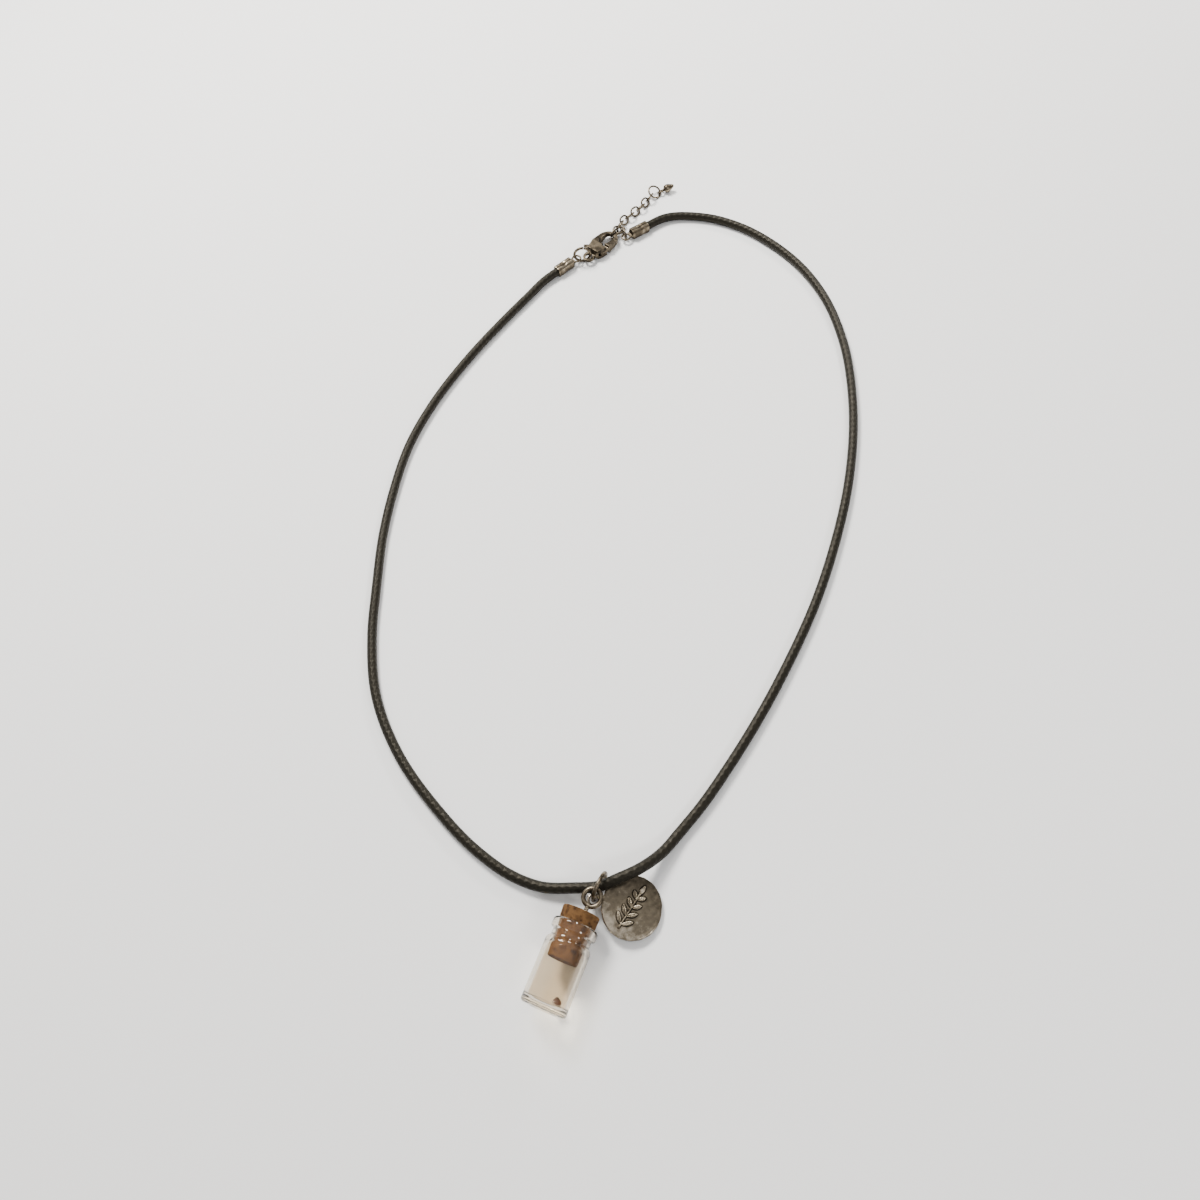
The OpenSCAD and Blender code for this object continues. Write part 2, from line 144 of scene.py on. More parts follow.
@dataclass
class Patch:
    """One surface given as a grid of points: rows along it, columns round it.

    The columns turn by the right-hand rule about the way the rows run, which points the faces
    outwards. Closed rows join the last row to the first; otherwise each end is closed at a pole.
    """

    grid: np.ndarray
    closed: bool = False
    poles: tuple | None = None
    tone: np.ndarray | None = None
    along: np.ndarray | None = None

    def corners(self) -> np.ndarray:
        """Gives all points, the two poles last on an open patch.

        Returns:
            Array of points.
        """
        flat = self.grid.reshape(-1, 3)
        if self.closed:
            return flat
        ends = self.poles or (self.grid[0].mean(0), self.grid[-1].mean(0))
        return np.vstack([flat, ends])

    def tones(self) -> np.ndarray:
        """Gives one shade value for each point, nought where none was set.

        Returns:
            Array of values from nought to one.
        """
        rows, columns = self.grid.shape[:2]
        flat = np.zeros(rows * columns) if self.tone is None else np.asarray(self.tone).reshape(-1)
        if self.closed:
            return flat
        return np.concatenate([flat, [flat[:columns].mean(), flat[-columns:].mean()]])

    def cells(self) -> tuple[np.ndarray, ...]:
        """Numbers the rows and columns on the sides of each cell between four points.

        Returns:
            Each cell's row, column, next row and next column.
        """
        rows, columns = self.grid.shape[:2]
        lines = np.arange(rows if self.closed else rows - 1)
        i, j = np.meshgrid(lines, np.arange(columns), indexing="ij")
        return i, j, (i + 1) % rows, (j + 1) % columns

    def faces(self) -> tuple[np.ndarray, np.ndarray]:
        """Joins neighbouring points into four-sided faces, and the end rows to their poles.

        Returns:
            The quads and the triangles, as rows of point numbers.
        """
        rows, columns = self.grid.shape[:2]
        i, j, ahead, beside = self.cells()
        low, high = i * columns, ahead * columns
        quads = np.stack([low + j, low + beside, high + beside, high + j], -1).reshape(-1, 4)
        if self.closed:
            return quads, np.zeros((0, 3), int)
        j, beside = j[0], beside[0]
        first, last = rows * columns, (rows - 1) * columns
        start = np.stack([np.full(columns, first), beside, j], -1)
        end = np.stack([np.full(columns, first + 1), last + j, last + beside], -1)
        return quads, np.vstack([start, end])

    def maps(self) -> np.ndarray:
        """Gives the UV of each face corner: turns round the patch, and metres along it.

        Returns:
            Array of u, v in the order of the faces' corners.
        """
        rows, columns = self.grid.shape[:2]
        along = np.linspace(0, 1, rows) if self.along is None else self.along
        i, j, ahead, _ = self.cells()
        left, right, near, far = j / columns, (j + 1) / columns, along[i], along[ahead]
        quads = np.stack([left, near, right, near, right, far, left, far], -1).reshape(-1, 2)
        if self.closed:
            return quads
        j = np.arange(columns)
        start = np.stack([j, 0 * j, j + 1, 0 * j, j, 0 * j], -1).reshape(-1, 2) / columns
        end = start.copy()
        start[:, 1], end[:, 1] = along[0], along[-1]
        return np.vstack([quads, start, end])


def tube(
    path: np.ndarray, radius: np.ndarray | float, sides: int, up: np.ndarray, closed: bool = False
) -> np.ndarray:
    """Carries a circle along a path.

    Each row is the path's point plus the radius times (cosine of the angle times the side vector
    plus sine times the lift vector). The side vector is up cross the direction of travel, and the
    lift is the direction of travel cross the side vector.

    Args:
        path: Points of the centre line.
        radius: One radius, or one for each row.
        sides: Number of columns.
        up: A vector that is never along the path.
        closed: Whether the path returns to its start.

    Returns:
        The grid of points.
    """
    travel = np.roll(path, -1, 0) - np.roll(path, 1, 0) if closed else np.gradient(path, axis=0)
    travel = unit(travel)
    side = unit(np.cross(up, travel))
    lift = np.cross(travel, side)
    angle = around(sides)[:, None]
    spokes = np.cos(angle) * side[:, None] + np.sin(angle) * lift[:, None]
    return path[:, None] + np.broadcast_to(radius, len(path))[:, None, None] * spokes


def lathe(profile: np.ndarray, sides: int, place: Place, wobble: float = 0.0) -> Patch:
    """Turns a profile about the local Z axis.

    Each row is at its own radius and height. The wobble adds a slow sum of sines of the angle and
    the height to the radius, as a share of it, for pieces that aren't turned true.

    Args:
        profile: Radius and height of each row in millimetres, from the low end to the high one.
        sides: Number of columns.
        place: Where the local frame is.
        wobble: Share of the radius that it departs from a true circle.

    Returns:
        A patch whose poles are on the axis.
    """
    angle, height = around(sides), profile[:, 1:2]
    drift = np.sin(3 * angle + 1.1 * height) + np.sin(5 * angle - 0.7 * height) + np.sin(2 * angle)
    grid = spun(profile[:, :1] * (1 + wobble * drift), angle, height)
    ends = place.put([[0, 0, profile[0, 1]], [0, 0, profile[-1, 1]]])
    return Patch(place.put(grid), poles=tuple(ends))


def bend(centre: tuple, radius: float, first: float, last: float, count: int) -> np.ndarray:
    """Gives the arc of a profile's round corner, between two angles in degrees."""
    angle = np.radians(np.linspace(first, last, count))
    return np.stack([centre[0] + radius * np.cos(angle), centre[1] + radius * np.sin(angle)], -1)


def refined(profile: np.ndarray, step: float) -> np.ndarray:
    """Adds points to a profile's long straight runs, so that they shade evenly.

    Args:
        profile: The profile's points.
        step: Longest run left between two points.

    Returns:
        The profile with the added points.
    """
    length = np.linalg.norm(np.diff(profile, axis=0), axis=1)
    pieces = [
        np.linspace(a, b, max(1, int(np.ceil(d / step))), endpoint=False)
        for a, b, d in zip(profile[:-1], profile[1:], length)
    ]
    return np.vstack([*pieces, profile[-1:]])


def link_piece(name: str, mesh: bpy.types.Mesh) -> bpy.types.Object:
    """Puts a mesh into the scene as an object at the origin.

    Args:
        name: The object's name.
        mesh: Its mesh.

    Returns:
        The object.
    """
    piece = bpy.data.objects.new(name, mesh)
    bpy.context.scene.collection.objects.link(piece)
    return piece


def skinned(name: str, patches: list[Patch]) -> bpy.types.Object:
    """Makes one object of one or more patches, with UVs and the tone attribute.

    Args:
        name: The object's name.
        patches: The surfaces.

    Returns:
        The object, shaded smooth.
    """
    points, faces, maps, tones, first = [], [], [], [], 0
    for patch in patches:
        corners = patch.corners()
        quads, triangles = patch.faces()
        faces += (quads + first).tolist() + (triangles + first).tolist()
        points.append(corners)
        maps.append(patch.maps())
        tones.append(patch.tones())
        first += len(corners)
    mesh = bpy.data.meshes.new(name)
    mesh.from_pydata(np.vstack(points).tolist(), [], faces)
    layer = mesh.uv_layers.new(name="run")
    layer.data.foreach_set("uv", np.vstack(maps).astype(np.float32).ravel())
    attribute = mesh.attributes.new("tone", "FLOAT", "POINT")
    attribute.data.foreach_set("value", np.concatenate(tones).astype(np.float32))
    mesh.shade_smooth()
    return link_piece(name, mesh)


def softened(node: str, name: str, voxel: float, passes: int) -> bpy.types.Object:
    """Copies a solid and wears its edges round, as on a small casting.

    The copy is merged, covered with an even skin of small faces, and each point is moved towards
    the middle of its neighbours a few times. It is done in millimetres, because the skin can't be
    finer than a tenth of a unit.

    Args:
        node: The solid's name.
        name: The new piece's name.
        voxel: Size of the skin's faces in millimetres.
        passes: How many times the points are evened out.

    Returns:
        The new piece, shaded smooth.
    """
    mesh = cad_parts[node].data.copy()
    mesh.transform(Matrix.Scale(1 / MM, 4))
    work = bmesh.new()
    work.from_mesh(mesh)
    bmesh.ops.remove_doubles(work, verts=work.verts, dist=0.0005)
    work.to_mesh(mesh)
    work.free()
    piece = link_piece(name, mesh)
    skin = piece.modifiers.new("even skin", "REMESH")
    skin.mode, skin.voxel_size, skin.use_smooth_shade = "VOXEL", voxel, True
    wear = piece.modifiers.new("worn edges", "SMOOTH")
    wear.factor, wear.iterations = 0.5, passes
    bpy.context.view_layer.update()
    shown = piece.evaluated_get(bpy.context.evaluated_depsgraph_get())
    done = bpy.data.meshes.new_from_object(shown)
    piece.modifiers.clear()
    piece.data = done
    done.transform(Matrix.Scale(MM, 4))
    done.shade_smooth()
    done.materials.clear()
    return piece


def dress(
    piece: bpy.types.Object, material: bpy.types.Material, body: Body, node: str
) -> None:
    """Gives a piece its material and body, and lets it stand for its solid.

    Args:
        piece: The piece.
        material: Its finish.
        body: The body that it rides on.
        node: The solid that it stands for.
    """
    piece.data.materials.append(material)
    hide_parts(node)
    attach(piece, body.value)
    LOG.info("%s: %d faces", piece.name, len(piece.data.polygons))


# Finishes


class Tree:
    """Adds nodes and links to one node tree."""

    def __init__(self, tree: bpy.types.NodeTree) -> None:
        """Takes over a material's tree or a group and empties it."""
        self.tree = tree
        tree.nodes.clear()

    def add(self, kind: str, values: dict | None = None, **settings: object) -> bpy.types.Node:
        """Adds one node.

        Args:
            kind: The node's type without its ShaderNode prefix, or a whole type name.
            values: Its inputs, as fill takes them.
            **settings: Properties of the node.

        Returns:
            The node.
        """
        made = self.tree.nodes.new(kind if kind.startswith("Node") else "ShaderNode" + kind)
        for key, value in settings.items():
            setattr(made, key, value)
        self.fill(made, values or {})
        return made

    def fill(self, node: bpy.types.Node, values: dict) -> None:
        """Sets or links inputs of a node.

        Args:
            node: The node.
            values: Input names or numbers with a value, a colour or a socket to link from.
        """
        for key, value in values.items():
            socket = node.inputs[key]
            if isinstance(value, Socket):
                self.tree.links.new(value, socket)
            elif socket.type == "RGBA":
                socket.default_value = (*value[:3], 1.0)
            else:
                socket.default_value = value

    def effect(
        self, group: bpy.types.NodeTree, point: Socket, scale: float, third: float
    ) -> list[Socket]:
        """Places a shared effect by its point, scale and third input, and gives its two outputs."""
        return self.add("Group", {0: point, 1: scale, 2: third}, node_tree=group).outputs[:2]

    def math(
        self, operation: str, first: Value, second: Value, third: Value = 0.0, clamp: bool = False
    ) -> Socket:
        """Adds a Math node and gives its result, if asked held between nought and one."""
        values = {0: first, 1: second, 2: third}
        return self.add("Math", values, operation=operation, use_clamp=clamp).outputs[0]

    def ramp(self, factor: Socket, stops: list[tuple]) -> Socket:
        """Adds a colour ramp.

        Args:
            factor: The socket that drives it.
            stops: Position and colour of each stop, in order.

        Returns:
            The colour socket.
        """
        made = self.add("ValToRGB", {0: factor})
        while len(made.color_ramp.elements) < len(stops):
            made.color_ramp.elements.new(1.0)
        for element, (position, colour) in zip(made.color_ramp.elements, stops):
            element.position, element.color = position, (*colour, 1.0)
        return made.outputs[0]

    def blend(self, factor: Value, low: Value, high: Value) -> Socket:
        """Mixes two colours or sockets, and gives the result."""
        return self.add("Mix", {0: factor, 6: low, 7: high}, data_type="RGBA").outputs[2]

    def spread(self, factor: Socket, low: float, high: float) -> Socket:
        """Adds a Map Range node from nought and one to two values, and gives its result."""
        return self.add("MapRange", {0: factor, 3: low, 4: high}).outputs[0]

    def tone_with(self, mask: Socket, share: float) -> Socket:
        """Adds a share of a mask to the tone that the piece carries, and gives the sum."""
        tone = self.add("Attribute", attribute_name="tone").outputs["Fac"]
        return self.math("ADD", self.math("MULTIPLY", mask, share), tone, clamp=True)

    def bump(self, height: Socket, strength: float, distance: float) -> Socket:
        """Adds a Bump node, its distance in metres, and gives its normal."""
        values = {"Strength": strength, "Distance": distance, "Height": height}
        return self.add("Bump", values).outputs[0]


def new_group(name: str, inputs: list[tuple], outputs: list[tuple]) -> tuple:
    """Starts a shader node group with named sockets.

    Args:
        name: The group's name.
        inputs: Name, socket type and default value of each input.
        outputs: Name and socket type of each output.

    Returns:
        The group's tree, its input node and its output node.
    """
    group = bpy.data.node_groups.new(name, "ShaderNodeTree")
    for label, kind, default in inputs:
        socket = group.interface.new_socket(label, in_out="INPUT", socket_type="NodeSocket" + kind)
        if default is not None:
            socket.default_value = default
    for label, kind in outputs:
        group.interface.new_socket(label, in_out="OUTPUT", socket_type="NodeSocket" + kind)
    tree = Tree(group)
    return tree, tree.add("NodeGroupInput"), tree.add("NodeGroupOutput")


def grain_group() -> bpy.types.NodeTree:
    """Makes the grain effect: soft blotches with finer specks on them.

    Its mask is noise at the given scale plus a third of noise nine times finer, stretched about
    its middle by the contrast and held between nought and one.

    Returns:
        The node group, with Mask and Height outputs.
    """
    tree, given, out = new_group(
        "surface grain",
        [("Vector", "Vector", None), ("Scale", "Float", 900.0), ("Contrast", "Float", 2.0)],
        [("Mask", "Float"), ("Height", "Float")],
    )
    share, ratio = 0.33, 9.0
    point, scale, contrast = given.outputs[:3]
    coarse = tree.add("TexNoise", {"Vector": point, "Scale": scale, "Detail": 4.0})
    finer = tree.math("MULTIPLY", scale, ratio)
    fine = tree.add("TexNoise", {"Vector": point, "Scale": finer, "Detail": 3.0})
    total = tree.math("MULTIPLY_ADD", fine.outputs[0], share, coarse.outputs[0])
    centred = tree.math("SUBTRACT", total, (1 + share) / 2)
    mask = tree.math("MULTIPLY_ADD", centred, contrast, 0.5, clamp=True)
    tree.fill(out, {0: mask, 1: total})
    return tree.tree


def pits_group() -> bpy.types.NodeTree:
    """Makes the pits effect: small hollows scattered over a surface.

    The distance to the nearest of scattered points is cut off at the pit's size, so that it is
    nought at the middle of a pit and one outside it. Noise shifts the points, so pits aren't round.

    Returns:
        The node group, with Depth and Mask outputs.
    """
    tree, given, out = new_group(
        "scattered pits",
        [("Vector", "Vector", None), ("Scale", "Float", 900.0), ("Size", "Float", 0.4)],
        [("Depth", "Float"), ("Mask", "Float")],
    )
    bend_scale, bend_reach = 1400.0, 0.0004
    point, scale, size = given.outputs[:3]
    bent = tree.add("TexNoise", {"Vector": point, "Scale": bend_scale, "Detail": 2.0})
    shift = tree.add("VectorMath", {0: bent.outputs["Color"], 3: bend_reach}, operation="SCALE")
    moved = tree.add("VectorMath", {0: point, 1: shift.outputs[0]}, operation="ADD")
    values = {"Vector": moved.outputs[0], "Scale": scale}
    cells = tree.add("TexVoronoi", values, feature="SMOOTH_F1")
    near = tree.math("DIVIDE", cells.outputs["Distance"], size, clamp=True)
    tree.fill(out, {0: near, 1: tree.math("SUBTRACT", 1.0, near)})
    return tree.tree


def begun(name: str) -> tuple[bpy.types.Material, Tree, bpy.types.Node, Socket]:
    """Starts a material with its shader, output and object coordinates.

    Args:
        name: The material's name.

    Returns:
        The material, its tree, its Principled shader and the object coordinates.
    """
    material = bpy.data.materials.new(name)
    material.use_nodes = True
    tree = Tree(material.node_tree)
    shader = tree.add("BsdfPrincipled")
    tree.add("OutputMaterial", {"Surface": shader.outputs[0]})
    return material, tree, shader, tree.add("TexCoord").outputs["Object"]


@dataclass(frozen=True)
class Effects:
    """The node groups that several materials share."""

    grain: bpy.types.NodeTree
    pits: bpy.types.NodeTree


@dataclass(frozen=True)
class Finish(ABC):
    """One material of the necklace."""

    name: str

    @abstractmethod
    def build(self, effects: Effects) -> bpy.types.Material:
        """Makes the material.

        Args:
            effects: The shared effects.

        Returns:
            The material.
        """


@dataclass(frozen=True)
class AntiqueSilver(Finish):
    """Plated casting metal, rubbed bright on what stands out and dark where the patina stays."""

    name: str = "antique silver"
    bright: tuple = (0.29, 0.243, 0.178)
    worn: tuple = (0.105, 0.084, 0.058)
    dark: tuple = (0.020, 0.016, 0.011)
    patina: float = 0.78
    roughness: tuple = (0.22, 0.50)
    hammer: float = 0.06
    hammer_scale: float = 900.0
    dent_size: float = 0.75
    grain_scale: float = 500.0
    grain_contrast: float = 2.4
    grain_high: float = 0.10
    bump: tuple = (0.6, 0.00012)

    def build(self, effects: Effects) -> bpy.types.Material:
        """Makes the metal.

        The patina's share is the piece's tone attribute plus blotches of the grain effect; on the
        charm the tone also holds a painted shade and a painted glint. It darkens the metal and makes
        it rougher; the pits effect dents it.

        Args:
            effects: The shared effects.

        Returns:
            The material.
        """
        material, tree, shader, point = begun(self.name)
        scale, contrast = self.grain_scale, self.grain_contrast
        blotches, grain = tree.effect(effects.grain, point, scale, contrast)
        dents, _ = tree.effect(effects.pits, point, self.hammer_scale, self.dent_size)
        darkening = tree.tone_with(blotches, self.patina)
        colour = tree.ramp(darkening, [(0.0, self.bright), (0.4, self.worn), (1.0, self.dark)])
        shape = tree.math("MULTIPLY", dents, self.hammer)
        height = tree.math("MULTIPLY_ADD", grain, self.grain_high, shape)
        rough, normal = tree.spread(darkening, *self.roughness), tree.bump(height, *self.bump)
        values = {"Base Color": colour, "Roughness": rough, "Metallic": 1.0, "Normal": normal}
        tree.fill(shader, values)
        return material


@dataclass(frozen=True)
class WaxedCord(Finish):
    """Black waxed cotton cord: fine braided yarns under a soft wax sheen."""

    name: str = "black waxed cord"
    yarn: tuple = (0.0055, 0.0050, 0.0038)
    waxed: tuple = (0.0115, 0.0100, 0.0068)
    sheen: tuple = (0.95, 0.86, 0.70)
    strands: float = 6.0
    lay_per_metre: float = 560.0
    yarn_high: float = 0.75
    specks: tuple = (1500.0, 2.2)
    speck_high: float = 0.7
    roughness: tuple = (0.52, 0.38)
    reflection: float = 0.19
    bump: tuple = (0.55, 0.00008)

    def build(self, effects: Effects) -> bpy.types.Material:
        """Makes the cord's wax and yarns.

        The braid is the greater of two sines, one of the turns round the cord plus the metres
        along it and one of their difference, so that its yarns cross as they wind round it.

        Args:
            effects: The shared effects.

        Returns:
            The material.
        """
        material, tree, shader, point = begun(self.name)
        place = tree.add("UVMap", uv_map="run")
        split = tree.add("SeparateXYZ", {0: place.outputs[0]})
        round_it = tree.math("MULTIPLY", split.outputs[0], self.strands * TURN)
        along_it = tree.math("MULTIPLY", split.outputs[1], self.lay_per_metre * TURN)
        right_hand = tree.math("SINE", tree.math("ADD", round_it, along_it), 0.0)
        left_hand = tree.math("SINE", tree.math("SUBTRACT", round_it, along_it), 0.0)
        ridge = tree.math("MULTIPLY", tree.math("MAXIMUM", right_hand, left_hand), self.yarn_high)
        mask, grain = tree.effect(effects.grain, point, *self.specks)
        height = tree.math("MULTIPLY_ADD", grain, self.speck_high, ridge)
        values = {
            "Base Color": tree.blend(mask, self.yarn, self.waxed),
            "Roughness": tree.spread(mask, *self.roughness),
            "Specular IOR Level": self.reflection,
            "Specular Tint": self.sheen,
            "Normal": tree.bump(height, *self.bump),
        }
        tree.fill(shader, values)
        return material


@dataclass(frozen=True)
class NaturalCork(Finish):
    """Pressed cork: warm brown, with darker grains and small dark pits."""

    name: str = "natural cork"
    light: tuple = (0.124, 0.062, 0.023)
    middle: tuple = (0.074, 0.036, 0.013)
    dark: tuple = (0.018, 0.007, 0.003)
    grains: tuple = (520.0, 2.8)
    grain_high: float = 0.5
    holes: tuple = (900.0, 0.42)
    roughness: float = 0.78
    reflection: float = 0.10
    bump: tuple = (0.7, 0.00018)

    def build(self, effects: Effects) -> bpy.types.Material:
        """Makes the cork: grains from the grain effect, dark hollows from the pits effect.

        Args:
            effects: The shared effects.

        Returns:
            The material.
        """
        material, tree, shader, point = begun(self.name)
        blotches, grain = tree.effect(effects.grain, point, *self.grains)
        depth, holes = tree.effect(effects.pits, point, *self.holes)
        base = tree.ramp(blotches, [(0.0, self.middle), (0.45, self.light), (1.0, self.middle)])
        height = tree.math("MULTIPLY_ADD", grain, self.grain_high, depth)
        values = {
            "Base Color": tree.blend(holes, base, self.dark),
            "Roughness": self.roughness,
            "Specular IOR Level": self.reflection,
            "Normal": tree.bump(height, *self.bump),
        }
        tree.fill(shader, values)
        return material


@dataclass(frozen=True)
class ClearGlass(Finish):
    """Thin blown glass, clear, with light let through to what is behind it."""

    name: str = "clear glass"
    # The tint is partly the glass's own warm colour and partly painted shade: it darkens what is seen
    # through the glass
    tint: tuple = (0.745, 0.672, 0.565)
    shadow_tint: tuple = (0.86, 0.85, 0.82)
    refraction: float = 1.52

    def build(self, effects: Effects) -> bpy.types.Material:
        """Makes the glass.

        Light that only passes on its way to a lamp goes through a plain clear shader, because bent
        light would leave the inside and the surface under it black.

        Args:
            effects: The shared effects.

        Returns:
            The material.
        """
        material, tree, shader, _ = begun(self.name)
        values = {"Base Color": self.tint, "Roughness": 0.0, "IOR": self.refraction}
        tree.fill(shader, {**values, "Transmission Weight": 1.0})
        output = next(node for node in tree.tree.nodes if node.type == "OUTPUT_MATERIAL")
        to_lamp = tree.add("LightPath").outputs["Is Shadow Ray"]
        clear = tree.add("BsdfTransparent", {"Color": self.shadow_tint})
        both = tree.add("MixShader", {0: to_lamp, 1: shader.outputs[0], 2: clear.outputs[0]})
        tree.fill(output, {"Surface": both.outputs[0]})
        return material


@dataclass(frozen=True)
class DrySeed(Finish):
    """A dry mustard seed: orange brown with a darker cap."""

    name: str = "dry seed"
    light: tuple = (0.080, 0.028, 0.009)
    dark: tuple = (0.028, 0.009, 0.004)
    specks: tuple = (1800.0, 1.6)
    speck_share: float = 0.35
    roughness: float = 0.42
    bump: tuple = (0.3, 0.00006)

    def build(self, effects: Effects) -> bpy.types.Material:
        """Makes the seed's skin, darker by its tone attribute and by specks.

        Args:
            effects: The shared effects.

        Returns:
            The material.
        """
        material, tree, shader, point = begun(self.name)
        specks, grain = tree.effect(effects.grain, point, *self.specks)
        darkening = tree.tone_with(specks, self.speck_share)
        values = {
            "Base Color": tree.blend(darkening, self.light, self.dark),
            "Roughness": self.roughness,
            "Normal": tree.bump(grain, *self.bump),
        }
        tree.fill(shader, values)
        return material


@dataclass(frozen=True)
class PaleSurface(Finish):
    """The plain pale surface that the necklace lies on."""

    name: str = "pale surface"
    colour: tuple = (0.87, 0.86, 0.845)

    def build(self, effects: Effects | None = None) -> bpy.types.Material:
        """Makes the material.

        Args:
            effects: The shared effects, which it does without.

        Returns:
            The material.
        """
        material, tree, shader, _ = begun(self.name)
        values = {"Base Color": self.colour, "Roughness": 0.85, "Specular IOR Level": 0.1}
        tree.fill(shader, values)
        return material


Finishes = dict[str, bpy.types.Material]


def make_finishes() -> Finishes:
    """Makes the shared effects and then each of the object's materials, once.

    Returns:
        The materials by short names.
    """
    kinds = {
        "silver": AntiqueSilver(),
        # The casting's bright colour shows on the charm's worn sprig and in its painted glint
        "casting": AntiqueSilver(
            name="antique silver casting", bright=(0.70, 0.605, 0.475), worn=(0.165, 0.136, 0.096),
            patina=0.34, hammer=0.5, hammer_scale=1500.0, grain_scale=330.0,
        ),
        # The clasp is the same silver made darker all over
        "clasp": AntiqueSilver(
            name="antique silver clasp", bright=(0.165, 0.136, 0.098), patina=1.25, hammer=0.2,
            hammer_scale=700.0, grain_scale=420.0,
        ),
        "cord": WaxedCord(),
        "cork": NaturalCork(),
        "glass": ClearGlass(),
        "seed": DrySeed(),
    }
    effects = Effects(grain_group(), pits_group())
    return {key: finish.build(effects) for key, finish in kinds.items()}


# The camera, the surface and the lights


@dataclass(frozen=True)
class Lamp:
    """One soft square light: its place, its side in metres, its watts, colour and target."""

    name: str
    place: tuple
    size: float
    power: float
    colour: tuple
    target: tuple = (0.0, 0.0, 0.0)

    def build(self) -> None:
        """Makes the light, facing its target."""
        data = bpy.data.lights.new(self.name, "AREA")
        data.shape, data.size = "SQUARE", self.size
        data.energy, data.color = self.power, self.colour
        lamp = bpy.data.objects.new(self.name, data)
        bpy.context.scene.collection.objects.link(lamp)
        lamp.location = self.place
        way = Vector(self.target) - Vector(self.place)
        lamp.rotation_euler = way.to_track_quat("-Z", "Y").to_euler()


@dataclass
class Studio:
    """The view of the photograph, a pale surface and soft lights."""

    lens: float = 30.0
    sensor: float = 36.0
    clip: tuple = (0.005, 20.0)
    eye: tuple = (0.070658, -0.125765, 0.219674)
    right: tuple = (0.92091318, 0.37845042, -0.09324269)
    up: tuple = (-0.29547569, 0.83386998, 0.46621344)
    back: tuple = (0.25419095, -0.40179115, 0.87974475)
    surface_half: float = 1.6
    surface_drop: float = 0.00001
    overhead: tuple = (1.0, 1.0, 1.0)
    level: tuple = (0.20, 0.195, 0.19)
    air_strength: float = 0.75
    lamps: tuple = (
        Lamp("key", (-0.34, 0.26, 0.50), 0.20, 9.0, (1.0, 0.985, 0.955)),
        Lamp("fill", (0.45, -0.20, 0.40), 0.12, 1.3, (0.95, 0.97, 1.0)),
        Lamp("glint", (0.05, 0.50, 0.30), 0.10, 1.6, (1.0, 0.98, 0.94), (0.0, -0.05, 0.0)),
    )

    def camera(self) -> None:
        """Makes the camera at the photograph's own place, with no depth of field and no shift."""
        data = bpy.data.cameras.new("photo view")
        data.lens, data.sensor_width, data.sensor_fit = self.lens, self.sensor, "AUTO"
        data.clip_start, data.clip_end = self.clip
        camera = bpy.data.objects.new("photo view", data)
        bpy.context.scene.collection.objects.link(camera)
        turn = Matrix((self.right, self.up, self.back)).transposed()
        camera.matrix_world = Matrix.Translation(self.eye) @ turn.to_4x4()
        bpy.context.scene.camera = camera

    def surface(self) -> None:
        """Makes the pale surface, a sheet just under z = 0."""
        half, low = self.surface_half, -self.surface_drop
        mesh = bpy.data.meshes.new("surface")
        corners = [(-half, -half, low), (half, -half, low), (half, half, low), (-half, half, low)]
        mesh.from_pydata(corners, [], [(0, 1, 2, 3)])
        mesh.materials.append(PaleSurface().build())
        link_piece("surface", mesh)

    def air(self) -> None:
        """Lights the whole scene softly: bright overhead and dim towards the level.

        The dim level gives glass its dark edges and metal its contrast.
        """
        world = bpy.data.worlds.new("air")
        world.use_nodes = True
        tree = Tree(world.node_tree)
        split = tree.add("SeparateXYZ", {0: tree.add("TexCoord").outputs["Generated"]})
        colour = tree.ramp(split.outputs[2], [(0.12, self.level), (0.75, self.overhead)])
        light = tree.add("Background", {0: colour, 1: self.air_strength})
        tree.add("OutputWorld", {0: light.outputs[0]})
        bpy.context.scene.world = world

    def build(self) -> None:
        """Makes the camera, the surface, the air's light and the lamps."""
        self.camera()
        self.surface()
        self.air()
        for lamp in self.lamps:
            lamp.build()


# The pieces


class Piece(ABC):
    """One or more pieces of the necklace, made where their solids are."""

    @abstractmethod
    def build(self, finishes: Finishes) -> None:
        """Makes the pieces and dresses them.

        Args:
            finishes: The materials.
        """


# The cord


